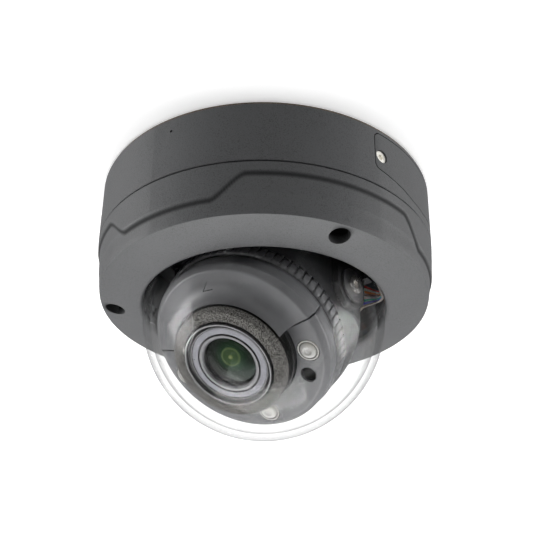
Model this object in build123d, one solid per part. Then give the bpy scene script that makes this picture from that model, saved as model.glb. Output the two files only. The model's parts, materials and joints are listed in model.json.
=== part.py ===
from build123d import *
import os
from math import asin, cos, degrees, radians, sin, sqrt, tan

# Ceiling dome camera. Millimetres and degrees.
# The frame's origin is the middle of the ceiling face, +Z points up into the ceiling, and the camera hangs
# towards -Z. Azimuths are measured from -Y towards +X. Heights in the ball are measured from the ball's
# centre along the lens axis, and angles in the ball from the tilt axis.

# --- Clearances ---
SEAT = 0.2               # gap round a piece that is dropped into its place
RUN = 0.3                # gap between pieces that move past each other
FIT = 0.05               # radial fit of a pin or shaft in its hole
THREAD_GAP = 0.05        # gap between a screw and its tapped hole

# --- Ball, dome and housing, which the rest follows ---
BALL_R = 34.5
DOME_CLEARANCE = 6.0     # ball to dome
DOME_WALL = 2.6
DOME_R = BALL_R + DOME_CLEARANCE + DOME_WALL
HOUSING_MARGIN = 17.9    # housing beyond the dome
HOUSING_R = DOME_R + HOUSING_MARGIN
HEADROOM = 14.0          # ceiling face to the top of the ball
BALL_DEPTH = HEADROOM + BALL_R
DOME_DROP = 1.0          # the dome's centre below the ball's
DOME_DEPTH = BALL_DEPTH + DOME_DROP
DOME_SKIRT = 2.5         # the dome's centre below the rim of the opening
OPENING_DEPTH = DOME_DEPTH - DOME_SKIRT

# --- Housing base ---
SEAM_DEPTH = 24.4        # ceiling face to the joint between base and cover
BASE_WALL = 3.6
CEILING_PLATE = 3.0
SEAM_GAP = 0.45          # width of the shadow line at the joint
SEAM_GROOVE = 0.8        # how far the shadow line reaches in
EDGE_CHAMFER = 0.3
GASKET_T = 0.8
GASKET_WIDTH = 4.5
GASKET_INSET = 0.5
MOUNT_INSET = 11.0       # mounting holes, in from the outside of the housing
MOUNT_HOLE_R = 2.4
MOUNT_AZIMUTH = 96.4
CABLE_INSET = 13.5       # cable entry, in from the outside of the housing
CABLE_AZIMUTH = 180.0
CABLE_R = 3.2
GROMMET_WALL = 2.8
GROMMET_LIP = 2.5
GROMMET_LIP_T = 1.4

# --- Screws ---
M2_R = 1.0
SMALL_HEAD_R = 2.0
SMALL_HEAD_T = 1.2
DRIVE_DEPTH = 0.8
BOARD_SCREW_BITE = 3.0   # how far the small screws reach into what they hold

# --- Cover screws ---
COVER_SCREW_INSET = 7.1
COVER_SCREW_AZIMUTH = 26.4
WELL_R = 3.6
COLUMN_WALL = 1.8
COLUMN_RISE = 4.4        # column top above the seam
WELL_DEPTH = 12.0        # from the rim of the opening up to the screw head
COVER_SCREW_R = 1.9
COVER_HEAD_R = 3.3
COVER_HEAD_T = 3.2
COVER_SCREW_BITE = 9.0

# --- Service cover in the base wall ---
SERVICE_LEFT = 37.0      # azimuths
SERVICE_RIGHT = 85.0
SERVICE_TOP = 2.5        # depths below the ceiling face
SERVICE_END_LOW = 16.8
SERVICE_MID_LOW = 20.5
SERVICE_MID_HALF = 4.0   # half of the flat stretch of the lower edge, in degrees
SERVICE_CORNER = 2.6
SERVICE_GAP = 0.35
SERVICE_SEAL_T = 0.8
SERVICE_PAD = 3.6        # how far the backing stands in from the wall
SERVICE_PAD_MARGIN = 4.0
SERVICE_PAD_LOW = 21.1
SERVICE_SCREW_INSET = 2.8
SERVICE_SCREW_DEPTH = 11.46
SERVICE_SINK_R = 2.55
SERVICE_SINK = 2.1
SERVICE_HEAD_R = 2.3
SERVICE_HEAD_T = 1.5
SERVICE_SHANK_R = 1.2
WINDOW_HALF = 14.0
WINDOW_TOP = 5.0
WINDOW_LOW = 16.0

# --- Microphone ---
MIC_AZIMUTH = -31.9
MIC_DEPTH = 6.14
MIC_HOLE_R = 0.5
MIC_SEAL_BORE_R = 0.75
MIC_SEAL_R = 2.9
MIC_SEAL_T = 0.75
MIC_R = 2.0
MIC_T = 1.6

# --- Main board ---
BOARD_DEPTH = 7.0
BOARD_T = 1.6
BOARD_INSET = 21.0
BOARD_R = HOUSING_R - BOARD_INSET
STANDOFF_R = 2.4
STANDOFF_INSET = 7.0
STANDOFF_RING = BOARD_R - STANDOFF_INSET
STANDOFF_AZIMUTH = 71.4
PROCESSOR = 14.0
PROCESSOR_T = 1.4
PROCESSOR_AZIMUTH = 270.0
PROCESSOR_RING = 19.0
SOCKET_T = 2.2
CENTRE_SOCKET_R = 5.5
SIDE_SOCKET = (10.0, 4.0)
SIDE_SOCKET_RING = 20.0

# --- Card board behind the service window ---
CARD_BOARD_WIDTH = 28.0
CARD_BOARD_LENGTH = 14.3
CARD_BOARD_INSET = 10.2  # in from the outside of the housing
CARD_BOARD_DEPTH = 11.4
CARD_BOARD_T = 1.2
LINK_SIZE = (8.0, 2.0)
LINK_OFFSET = -6.0
CARD_SIZE = (11.0, 1.0, 15.0)
CARD_OFFSET = 5.5
CARD_PROUD = 2.0         # how far the card stands out of its socket
SOCKET_WALL = 1.0
SOCKET_FLOOR = 0.2
SWITCH_SIZE = (4.5, 3.0, 3.5)
SWITCH_OFFSET = -8.0
BUTTON_R = 0.9
BUTTON_PROUD = 1.7
BUTTON_BORE = 2.2
BUTTON_TRAVEL = 0.4

# --- Dome cover ---
CONE_RISE = 3.5          # rim of the opening up to the crisp lower edge of the wall
COVER_EDGE_DEPTH = OPENING_DEPTH - CONE_RISE
COVER_EDGE_INSET = 2.2
SKIRT_RISE = 7.5         # height of the wall's stretch that turns in to the edge
COVER_DRAFT_DEPTH = COVER_EDGE_DEPTH - SKIRT_RISE
COVER_DRAFT = 0.6
COVER_WALL = 4.2
COVER_FLOOR = 2.4
REGISTER_T = 2.1         # lip that enters the base
REGISTER_RISE = 3.0
STEP_DEPTH = 0.6         # how far the lower wall is set back
STEP_DROP = 4.5          # seam to the step line's high stretches
STEP_HIGH = SEAM_DEPTH + STEP_DROP
STEP_RISE = 5.9          # lower edge up to the step line's low stretches
STEP_LOW = COVER_EDGE_DEPTH - STEP_RISE
STEP_SLOPE = 10.5        # degrees of azimuth that a slope takes
LOW_STRETCHES = ((-51.5, -17.0), (61.0, 103.0), (165.0, 205.0))
SEAL_WIDTH = 1.4
SEAL_T = 1.2
SEAL_INSET = 1.7         # seal's outer edge, in from the housing's outside

# --- Clear dome ---
DOME_FLANGE = 5.1        # how far the flange stands out
DOME_FLANGE_T = 2.4
DOME_GASKET_T = 0.8
DOME_GASKET_WIDTH = 4.0
DOME_SEAT_T = 2.0        # thickness of the cover's lip at the opening
DOME_RING_T = 1.9
DOME_RING_WIDTH = 9.0
DOME_SCREW_COUNT = 6

# --- Ball, in its own frame ---
SHELL_WALL = 1.8
SHELL_FRONT = 9.0
SHELL_BACK = -31.0
SHELL_LIP_T = 1.5
SHELL_LIP_BACK = 2.2
SPIGOT_INSET = 3.3       # spigot, in from the ball's surface
SPIGOT_R = BALL_R - SPIGOT_INSET
SPIGOT_T = 1.7           # radial step from the spigot to the hooked lip
SPIGOT_WALL = 3.7
SPIGOT_END = 4.0
RETAINER_T = 1.5
PAN_REST = -38.0         # rest pose of the three turns
TILT_REST = 35.5         # lens axis away from straight down
ROLL_REST = -6.2

# --- Tilt pivots ---
EAR_GAP = 0.4            # ball to ear
EAR_T = 2.7
EAR_R = 8.0
PIVOT_R = 4.0
PIVOT_PROUD = 0.1
PIVOT_COLLAR_R = 6.0
WASHER_R = 6.0
WASHER_T = 0.8
TILT_HEAD_R = 3.2
TILT_HEAD_T = 1.0

# --- Pan carrier ---
CHASSIS_DEPTH = 14.0
CHASSIS_T = 1.5
CHASSIS_BORE_INSET = 7.5
CHASSIS_BORE_R = BALL_R - CHASSIS_BORE_INSET
CHASSIS_POST_AZIMUTH = 6.4
CHASSIS_POST_R = 3.2
CHASSIS_POST_INSET = 13.0
CHASSIS_LUG_R = 4.0
PAN_FLANGE_T = 2.0
PAN_BORE_INSET = 2.2
PAN_BORE_R = BALL_R - PAN_BORE_INSET
PAN_FLANGE_MARGIN = 3.2  # flange beyond the ears' corners
RETAINER_WALL = 3.6
RETAINER_LIP_T = 1.5
RETAINER_SCREW_R = 0.75
RETAINER_HEAD_R = 1.5

# --- Lens module, heights from the ball's centre ---
BAND_INSET = 2.3         # band, in from the ball's surface
BAND_R = BALL_R - BAND_INSET
BAND_FRONT = 19.9
BAND_BACK = 14.9
KNURL_INSET = 1.1
KNURL_R = BALL_R - KNURL_INSET
KNURL_FRONT = 14.3
KNURL_BACK = 9.3
KNURL_GROOVES = 72
KNURL_GROOVE = (0.8, 0.5)
BAND_WALL = 2.0
SHELF_FRONT = 12.0
FACE_FRONT = 22.8
FACE_BEVEL = 1.8
FACE_R = BAND_R - FACE_BEVEL
FACE_T = 1.6
FACE_EDGE = 20.6
FACE_RIM_INSET = 0.4
HOOD_HALF = 78.8         # half of the hood's arc, in degrees
PANEL_GAP = 0.12         # half of the gap between hood and panel, in degrees
HOOD_TOP = 28.7
HOOD_LIP = 1.0
PANEL_WIDTH = 9.8        # collar to the edge of the face
COLLAR_R = FACE_R - PANEL_WIDTH
COLLAR_WALL = 1.7
COLLAR_FRONT = 24.5
FOAM_FRONT = 32.5
FOAM_WIDTH = 4.45
FOAM_OUTER_R = COLLAR_R - SEAT
FOAM_INNER_R = FOAM_OUTER_R - FOAM_WIDTH
FOAM_ROUND = 0.6
FRAME_T = 1.5
FRAME_POST_R = 1.8
FRAME_POST_ANGLES = (50.0, 130.0, 230.0, 310.0)
LED_BOARD_BACK = 17.6
LED_BOARD_T = 1.2
LED_INSET = 4.5          # lamps, in from the edge of the face
LED_RING = FACE_R - LED_INSET
LED_ANGLES = (-12.3, -90.0, 192.3)
LED_R = 3.4
LED_HOLE_GAP = 0.2
LED_FOOT = 0.4
LED_FOOT_T = 2.1
LED_PROUD = 0.8
LED_CHIP = 3.2
LED_CHIP_T = 0.9
SENSOR_ANGLE = -34.1
SENSOR_WINDOW_R = 2.45
SENSOR_SUNK = 0.4

# --- Lens ---
BARREL_GAP = 0.2         # foam to barrel
BARREL_R = FOAM_INNER_R - BARREL_GAP
NAME_RING_INSET = 1.75
NAME_RING_R = BARREL_R - NAME_RING_INSET
GLASS_INSET = 4.6        # glass, in from the outside of the ring that holds it
GLASS_R = NAME_RING_R - GLASS_INSET
LENS_TUBE_INSET = 1.6
LENS_TUBE_R = NAME_RING_R - LENS_TUBE_INSET
LENS_TUBE_WALL = 2.8
LENS_BORE_R = LENS_TUBE_R - LENS_TUBE_WALL
FRAME_BORE_GAP = 0.65
FRAME_BORE_R = BARREL_R + FRAME_BORE_GAP
LENS_BACK = -2.0
LENS_TUBE_FRONT = 21.0
LENS_FLANGE_SEAT = 2.1
LENS_FLANGE_R = FRAME_BORE_R + LENS_FLANGE_SEAT
LENS_FLANGE_T = 1.5
SHOULDER_T = 1.2
SHOULDER_R = LENS_TUBE_R + SHOULDER_T
RING_SHOULDER = 11.0
MOTOR_PLATE = (5.0, 6.5)
REAR_SHOULDER = 0.0
BARREL_FRONT = 33.0
BARREL_NECK = 1.15       # how far the barrel's neck is set in
BARREL_NECK_R = BARREL_R - BARREL_NECK
BARREL_STEP = 24.0
BARREL_RIM = 0.65
BARREL_SEAT = 28.0
NAME_RING_FRONT = 31.9
GLASS_FLANGE = 1.0
GLASS_SHOULDER = 30.0
GLASS_FRONT = 31.8
GLASS_BACK = 27.4
APERTURE_R = 3.4
APERTURE_T = 0.8
INNER_LENSES = ((13.0, 16.0), (2.0, 6.0))
INNER_BULGE = 1 / 3      # share of an inner lens's thickness that each face bulges
GEAR_MODULE = 0.5
TOOTH_TIP = 0.7          # shares of the module: tip, root and half width at the pitch circle
TOOTH_ROOT = 1.1
TOOTH_HALF = 0.63
TOOTH_SLANT = 0.4
RING_TEETH = 60
PINION_TEETH = 18
PINION_SHAFT_R = 0.8
PINION_T = 3.0
MOTOR_R = 3.8
MOTOR_FRONT = 11.5
MOTOR_BACK = -4.5
SHAFT_SUNK = 3.0
FOCUS_MOTOR_ANGLE = 198.0
ZOOM_MOTOR_ANGLE = 342.0
LENS_MOUNT = 24.0
LENS_MOUNT_T = 6.0
LENS_MOUNT_LIP = 0.6
LENS_MOUNT_BORE_R = LENS_BORE_R - LENS_MOUNT_LIP
SENSOR_BOARD = (36.0, 30.0)
SENSOR_BOARD_T = 1.2
IMAGE_SENSOR = (9.0, 8.0, 1.5)
SENSOR_SCREW_SPACING = 19.0

# --- Wires from the main board to the ball ---
WIRE_COUNT = 8
WIRE_R = 0.45
WIRE_PITCH = 0.95
HUB_SIZE = (8.0, 6.0, 1.2)
EAR_PLUG = (4.0, 3.5)
EAR_PLUG_MARGIN = 0.5
WIRE_EAR_GAP = 0.6       # ears to the line of the run round the ball
WIRE_SWEEP_RISE = 14.1   # the run's upper wire above the ball's centre
WIRE_DROP_ANGLE = 100.0
WIRE_SWEEP_ANGLES = (84.0, 70.0, 57.0, 44.0, 31.0)
WIRE_LEVEL_R = 13.0
WIRE_CLIMB = ((13.5, 35.5), (6.5, 24.5), (-1.5, 17.5))  # in from the ball's surface, above its centre
WIRE_RUN_OUT = 4.0
WIRE_BEND_SHARE = 0.45   # share of the shorter run that a bend may take

# --- Sizes that follow from those above ---
BASE_INNER_R = HOUSING_R - BASE_WALL
SEAM_Z = -SEAM_DEPTH
PLATE_Z = -CEILING_PLATE
MOUNT_RING = HOUSING_R - MOUNT_INSET
CABLE_RING = HOUSING_R - CABLE_INSET
COVER_SCREW_RING = HOUSING_R - COVER_SCREW_INSET
COLUMN_R = WELL_R + COLUMN_WALL
COLUMN_TOP = SEAM_Z + COLUMN_RISE
SERVICE_MIDDLE = (SERVICE_LEFT + SERVICE_RIGHT) / 2
SERVICE_FLOOR_R = BASE_INNER_R - SERVICE_SEAL_T
SERVICE_PAD_R = BASE_INNER_R - SERVICE_PAD - SERVICE_SEAL_T
SERVICE_SCREWS = (SERVICE_LEFT + SERVICE_SCREW_INSET, SERVICE_RIGHT - SERVICE_SCREW_INSET)
BOARD_Z = -BOARD_DEPTH
CARD_BOARD_FRONT = HOUSING_R - CARD_BOARD_INSET
BOARD_UNDER_Z = BOARD_Z - BOARD_T
COVER_INNER_R = HOUSING_R - COVER_WALL
REGISTER_R = BASE_INNER_R - RUN
OPENING_R = DOME_R + SEAT
OPENING_Z = -OPENING_DEPTH
SEAT_Z = OPENING_Z + DOME_SEAT_T
DOME_Z = -DOME_DEPTH
DOME_INNER_R = DOME_R - DOME_WALL
DOME_FLANGE_R = DOME_R + DOME_FLANGE
DOME_FLANGE_Z = SEAT_Z + DOME_GASKET_T
DOME_RING_Z = DOME_FLANGE_Z + DOME_FLANGE_T
DOME_RING_INNER_R = DOME_INNER_R + 2 * SEAT + DOME_WALL - RUN
DOME_RING_R = DOME_RING_INNER_R + DOME_RING_WIDTH
DOME_SCREW_RING = (DOME_FLANGE_R + DOME_RING_R) / 2 + SEAT
BALL_Z = -BALL_DEPTH
EAR_INNER = BALL_R + EAR_GAP
EAR_OUTER = EAR_INNER + EAR_T
WIRE_SWEEP_R = EAR_OUTER + WIRE_EAR_GAP
EAR_CORNER_R = sqrt(EAR_OUTER ** 2 + EAR_R ** 2)
WASHER_SEAT = EAR_OUTER + PIVOT_PROUD
CHASSIS_Z = -CHASSIS_DEPTH
CHASSIS_UNDER_Z = CHASSIS_Z - CHASSIS_T
CHASSIS_POST_RING = HOUSING_R - CHASSIS_POST_INSET
PAN_TOP_Z = CHASSIS_UNDER_Z - RUN
PAN_UNDER_Z = PAN_TOP_Z - PAN_FLANGE_T
PAN_FLANGE_R = EAR_CORNER_R + PAN_FLANGE_MARGIN
RETAINER_INNER_R = PAN_FLANGE_R + RUN
RETAINER_R = RETAINER_INNER_R + RETAINER_WALL
RETAINER_LIP_R = EAR_CORNER_R + 2 * RUN
RETAINER_TOP_Z = PAN_UNDER_Z - RUN
RETAINER_UNDER_Z = RETAINER_TOP_Z - RETAINER_LIP_T
RETAINER_SCREW_RING = (RETAINER_INNER_R + RETAINER_R) / 2
SPIGOT_INNER_R = SPIGOT_R - SPIGOT_WALL
SHELL_BORE_R = SPIGOT_R + RUN
SHELL_LIP_R = SHELL_BORE_R - SPIGOT_T - RUN
RETAINER_NECK_R = SHELL_LIP_R - RUN
RETAINER_FRONT = SHELL_LIP_BACK - RUN
BAND_INNER_R = BAND_R - BAND_WALL
COLLAR_INNER_R = COLLAR_R - COLLAR_WALL
PANEL_INNER_R = COLLAR_R + RUN
FRAME_FRONT = SHELF_FRONT + FRAME_T
LED_BOARD_FRONT = LED_BOARD_BACK + LED_BOARD_T
LENS_FLANGE_FRONT = FRAME_FRONT + LENS_FLANGE_T
MOTOR_RING = GEAR_MODULE * (RING_TEETH + PINION_TEETH) / 2
MOUNT_BACK = LENS_BACK - LENS_MOUNT_T
HUB_TOP_Z = BOARD_UNDER_Z - SOCKET_T - RUN
HUB_Z = HUB_TOP_Z - HUB_SIZE[2] / 2

UPWARDS = (Align.CENTER, Align.CENTER, Align.MIN)
THIRDS = (0.0, 120.0, 240.0)


# --- Helpers ---

def rod(radius, low, high):
    """Cylinder about Z between two heights."""
    return Pos(0, 0, low) * Cylinder(radius, high - low, align=UPWARDS)


def ring(outer, inner, low, high):
    """Tube about Z between two heights."""
    return rod(outer, low, high) - rod(inner, low, high)


def turned(*points):
    """Solid turned about Z from a closed outline of (radius, height) points."""
    return revolve(Plane.XZ * make_face(Polyline(*points, close=True)), Axis.Z)


def sector(face, start, end):
    """Upright face turned about Z from one angle to another."""
    return Rot(0, 0, start) * revolve(face, Axis.Z, end - start)


def place(azimuth, radius, height=0.0):
    """Upright location at an azimuth and radius of the housing."""
    angle = radians(azimuth)
    return Pos(radius * sin(angle), -radius * cos(angle), height)


def chassis_post(turn):
    """Upright location of one post of the chassis plate."""
    return place(CHASSIS_POST_AZIMUTH + turn, CHASSIS_POST_RING)


def outward(azimuth, radius, depth):
    """Location with Z pointing out of the housing's wall, X along the wall and Y up."""
    angle = radians(azimuth)
    origin = (radius * sin(angle), -radius * cos(angle), -depth)
    along = (cos(angle), sin(angle), 0)
    out = (sin(angle), -cos(angle), 0)
    return Plane(origin=origin, x_dir=along, z_dir=out).location


def around(angle, radius, height=0.0):
    """Upright location at an angle and radius of the ball."""
    return Rot(0, 0, angle) * Pos(radius, 0, height)


def wall_patch(outline, inner, outer, corner=0.0):
    """Piece of a tube about Z, inside an outline of (azimuth, depth) points spread along the radii."""
    azimuths = [azimuth for azimuth, depth in outline]
    depths = [depth for azimuth, depth in outline]
    middle = (min(azimuths) + max(azimuths)) / 2
    reach = radians(max(azimuths) - middle)
    faces = []
    for distance in (inner * cos(reach), outer):
        points = [(distance * tan(radians(azimuth - middle)), -depth) for azimuth, depth in outline]
        face = make_face(Polyline(*points, close=True))
        if corner:
            face = fillet(face.vertices(), corner * distance / outer)
        faces.append(outward(middle, distance, 0) * face)
    return loft(faces) & ring(outer, inner, -max(depths), -min(depths))


def screw(head_r, head_t, shank_r, length):
    """Screw along Z with its head's top at 0, pointing down, with a hexagon socket."""
    shank = rod(shank_r, -head_t - length, -head_t)
    socket = Pos(0, 0, -DRIVE_DEPTH) * extrude(RegularPolygon(head_r / 2, 6), DRIVE_DEPTH)
    return rod(head_r, -head_t, 0) + shank - socket


def in_pan(shape):
    """From the pan carrier's own frame, X along the tilt axis, to its place at rest."""
    return Rot(0, 0, PAN_REST) * shape


def in_ball(shape):
    """From the ball's frame, X along the tilt axis and Z along the lens, to its place at rest."""
    pan = radians(PAN_REST)
    tilt = radians(TILT_REST)
    side = (cos(pan), sin(pan), 0)
    axis = (sin(pan) * sin(tilt), -cos(pan) * sin(tilt), -cos(tilt))
    return Plane(origin=(0, 0, BALL_Z), x_dir=side, z_dir=axis).location * shape


def in_module(shape):
    """From the lens module's frame, with the hood's middle at 90 degrees, to its place at rest."""
    return in_ball(Rot(0, 0, ROLL_REST) * shape)


def save(node, shape):
    """Write one node, whose name becomes its label and its file's name."""
    shape.label = node
    export_step(shape, "parts/" + node + ".step")


# --- Housing base ---

def service_outline(grow):
    """Outline of the service cover, made larger by a gap all round."""
    angle = degrees(grow / HOUSING_R)
    left, right = SERVICE_LEFT - angle, SERVICE_RIGHT + angle
    top, end_low, mid_low = SERVICE_TOP - grow, SERVICE_END_LOW + grow, SERVICE_MID_LOW + grow
    return [(left, top), (right, top), (right, end_low), (SERVICE_MIDDLE + SERVICE_MID_HALF, mid_low),
            (SERVICE_MIDDLE - SERVICE_MID_HALF, mid_low), (left, end_low)]


def window_outline(grow):
    """Outline of the opening behind the service cover."""
    angle = degrees(grow / HOUSING_R)
    left, right = SERVICE_MIDDLE - WINDOW_HALF - angle, SERVICE_MIDDLE + WINDOW_HALF + angle
    return [(left, WINDOW_TOP - grow), (right, WINDOW_TOP - grow),
            (right, WINDOW_LOW + grow), (left, WINDOW_LOW + grow)]


def base_housing():
    """Cast cup that screws to the ceiling, with its bosses, posts and service pocket."""
    gasket_r = HOUSING_R - GASKET_INSET - GASKET_WIDTH
    seam_top = SEAM_Z + SEAM_GAP
    body = turned((0, 0), (gasket_r, 0), (gasket_r, -GASKET_T), (HOUSING_R - EDGE_CHAMFER, -GASKET_T),
                  (HOUSING_R, -GASKET_T - EDGE_CHAMFER), (HOUSING_R, seam_top + EDGE_CHAMFER),
                  (HOUSING_R - EDGE_CHAMFER, seam_top), (HOUSING_R - SEAM_GROOVE, seam_top),
                  (HOUSING_R - SEAM_GROOVE, SEAM_Z), (BASE_INNER_R, SEAM_Z), (BASE_INNER_R, PLATE_Z),
                  (0, PLATE_Z))
    pad = [(SERVICE_LEFT - SERVICE_PAD_MARGIN, CEILING_PLATE / 2),
           (SERVICE_RIGHT + SERVICE_PAD_MARGIN, CEILING_PLATE / 2),
           (SERVICE_RIGHT + SERVICE_PAD_MARGIN, SERVICE_PAD_LOW),
           (SERVICE_LEFT - SERVICE_PAD_MARGIN, SERVICE_PAD_LOW)]
    body += wall_patch(pad, SERVICE_PAD_R, HOUSING_R - BASE_WALL / 2)
    envelope = rod(HOUSING_R - BASE_WALL / 2, SEAM_Z, 0)
    for turn in THIRDS:
        boss = place(COVER_SCREW_AZIMUTH + turn, COVER_SCREW_RING)
        body += boss * rod(COLUMN_R - THREAD_GAP, COLUMN_TOP, PLATE_Z) & envelope
        body += chassis_post(turn) * rod(CHASSIS_POST_R, CHASSIS_Z, PLATE_Z)
        body += place(STANDOFF_AZIMUTH + turn, STANDOFF_RING) * rod(STANDOFF_R, BOARD_Z, PLATE_Z)
    for turn in THIRDS:
        thread = rod(COVER_SCREW_R + THREAD_GAP, COLUMN_TOP, COLUMN_TOP + COVER_SCREW_BITE + SEAT)
        body -= place(COVER_SCREW_AZIMUTH + turn, COVER_SCREW_RING) * thread
        post_hole = rod(M2_R + THREAD_GAP, CHASSIS_Z, CHASSIS_Z + 2 * BOARD_SCREW_BITE)
        body -= chassis_post(turn) * post_hole
        standoff_hole = rod(M2_R + THREAD_GAP, BOARD_Z, BOARD_Z + BOARD_SCREW_BITE + SEAT)
        body -= place(STANDOFF_AZIMUTH + turn, STANDOFF_RING) * standoff_hole
        body -= place(MOUNT_AZIMUTH + turn, MOUNT_RING) * rod(MOUNT_HOLE_R, PLATE_Z, 0)
    body -= place(CABLE_AZIMUTH, CABLE_RING) * rod(CABLE_R + GROMMET_WALL, PLATE_Z, 0)
    body -= wall_patch(service_outline(SERVICE_GAP), SERVICE_FLOOR_R, HOUSING_R + BASE_WALL,
                       SERVICE_CORNER + SERVICE_GAP)
    body -= wall_patch(window_outline(0), SERVICE_PAD_R - BASE_WALL, HOUSING_R)
    for azimuth in SERVICE_SCREWS:
        thread = rod(SERVICE_SHANK_R + THREAD_GAP, -BASE_WALL, SERVICE_SEAL_T)
        body -= outward(azimuth, SERVICE_FLOOR_R, SERVICE_SCREW_DEPTH) * thread
    body -= outward(MIC_AZIMUTH, BASE_INNER_R, MIC_DEPTH) * rod(MIC_HOLE_R, -BASE_WALL, 2 * BASE_WALL)
    return body


def mounting_gasket():
    """Foam ring that seals the base against the ceiling."""
    outer = HOUSING_R - GASKET_INSET
    return ring(outer, outer - GASKET_WIDTH + SEAT, -GASKET_T, 0)


def cable_grommet():
    """Rubber bush in the cable entry."""
    outer = CABLE_R + GROMMET_WALL
    bush = rod(outer, PLATE_Z, 0) + rod(outer + GROMMET_LIP, PLATE_Z - GROMMET_LIP_T, PLATE_Z)
    return place(CABLE_AZIMUTH, CABLE_RING) * (bush - rod(CABLE_R, PLATE_Z - GROMMET_LIP_T, 0))


def service_cover():
    """Curved cover, flush with the wall, with a well for each screw."""
    cover = wall_patch(service_outline(0), BASE_INNER_R, HOUSING_R, SERVICE_CORNER)
    for azimuth in SERVICE_SCREWS:
        well = rod(SERVICE_SINK_R, -SERVICE_SINK, BASE_WALL)
        hole = rod(SERVICE_SHANK_R + SEAT, -2 * BASE_WALL, 0)
        cover -= outward(azimuth, HOUSING_R, SERVICE_SCREW_DEPTH) * (well + hole)
    return cover


def service_cover_gasket():
    """Flat seal under the service cover, open at the window and the screws."""
    seal = wall_patch(service_outline(-SEAT), SERVICE_FLOOR_R, BASE_INNER_R, SERVICE_CORNER)
    seal -= wall_patch(window_outline(SEAT), SERVICE_FLOOR_R - SEAT, HOUSING_R)
    for azimuth in SERVICE_SCREWS:
        hole = rod(SERVICE_SHANK_R + SEAT, -BASE_WALL, BASE_WALL)
        seal -= outward(azimuth, BASE_INNER_R, SERVICE_SCREW_DEPTH) * hole
    return seal


def service_cover_screws():
    """Two socket screws of the service cover."""
    length = BASE_WALL - SERVICE_SINK + SERVICE_SEAL_T + SERVICE_PAD - 2 * SEAT
    one = screw(SERVICE_HEAD_R, SERVICE_HEAD_T, SERVICE_SHANK_R, length)
    seat = HOUSING_R - SERVICE_SINK + SERVICE_HEAD_T
    return Compound([outward(azimuth, seat, SERVICE_SCREW_DEPTH) * one for azimuth in SERVICE_SCREWS])


def at_window(offset, radius, depth):
    """Location at the service window: X along the wall, Y up, Z outwards, its origin off the middle."""
    return outward(SERVICE_MIDDLE, radius, depth) * Pos(offset, 0, 0)


def card_board():
    """Small board that carries the memory card socket and the reset switch."""
    middle = CARD_BOARD_FRONT - CARD_BOARD_LENGTH / 2
    return at_window(0, middle, CARD_BOARD_DEPTH + CARD_BOARD_T / 2) * Box(
        CARD_BOARD_WIDTH, CARD_BOARD_T, CARD_BOARD_LENGTH)


def board_link():
    """Header that joins the card board to the main board."""
    rise = CARD_BOARD_DEPTH - BOARD_DEPTH - BOARD_T
    radius = CARD_BOARD_FRONT - CARD_BOARD_LENGTH + LINK_SIZE[1]
    return at_window(LINK_OFFSET, radius, CARD_BOARD_DEPTH - rise / 2) * Box(LINK_SIZE[0], rise, LINK_SIZE[1])


def card_socket():
    """Memory card socket, open towards the window."""
    width = CARD_SIZE[0] + 2 * SOCKET_WALL
    height = CARD_SIZE[1] + 2 * SOCKET_FLOOR + SEAT
    length = CARD_SIZE[2] - CARD_PROUD
    front = CARD_BOARD_FRONT - SEAT
    location = at_window(CARD_OFFSET, front - length / 2, CARD_BOARD_DEPTH - height / 2)
    body = location * Box(width, height, length)
    slot_depth = CARD_BOARD_DEPTH - SOCKET_FLOOR - (CARD_SIZE[1] + SEAT) / 2
    slot = at_window(CARD_OFFSET, front - length / 2 + SOCKET_WALL, slot_depth) * Box(
        CARD_SIZE[0] + SEAT, CARD_SIZE[1] + SEAT, length)
    return body - slot


def memory_card():
    """Memory card in its socket."""
    depth = CARD_BOARD_DEPTH - SOCKET_FLOOR - (CARD_SIZE[1] + SEAT) / 2
    middle = CARD_BOARD_FRONT - SEAT + CARD_PROUD - (CARD_SIZE[2] - SOCKET_WALL - SEAT) / 2
    return at_window(CARD_OFFSET, middle, depth) * Box(
        CARD_SIZE[0], CARD_SIZE[1], CARD_SIZE[2] - SOCKET_WALL - SEAT)


def reset_switch():
    """Switch body with the button's bore."""
    width, height, length = SWITCH_SIZE
    front = CARD_BOARD_FRONT - SEAT
    location = at_window(SWITCH_OFFSET, front - length / 2, CARD_BOARD_DEPTH - height / 2)
    body = location * Box(width, height, length)
    bore = rod(BUTTON_R + FIT, -BUTTON_BORE, SEAT)
    return body - at_window(SWITCH_OFFSET, front, CARD_BOARD_DEPTH - height / 2) * bore


def reset_button():
    """Push button that slides in the switch."""
    shaft = rod(BUTTON_R, -BUTTON_BORE + 2 * BUTTON_TRAVEL, BUTTON_PROUD)
    return at_window(SWITCH_OFFSET, CARD_BOARD_FRONT - SEAT, CARD_BOARD_DEPTH - SWITCH_SIZE[1] / 2) * shaft


def mic_seal():
    """Rubber ring between the wall and the microphone."""
    location = outward(MIC_AZIMUTH, BASE_INNER_R - SEAT, MIC_DEPTH)
    return location * ring(MIC_SEAL_R, MIC_SEAL_BORE_R, -MIC_SEAL_T, 0)


def microphone():
    """Microphone capsule behind its hole in the wall."""
    location = outward(MIC_AZIMUTH, BASE_INNER_R - SEAT - MIC_SEAL_T, MIC_DEPTH)
    return location * rod(MIC_R, -MIC_T, 0)


def main_board():
    """Round main board under the ceiling plate."""
    board = rod(BOARD_R, BOARD_UNDER_Z, BOARD_Z)
    for turn in THIRDS:
        board -= place(STANDOFF_AZIMUTH + turn, STANDOFF_RING) * rod(M2_R + SEAT, BOARD_UNDER_Z, BOARD_Z)
    return board


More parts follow.
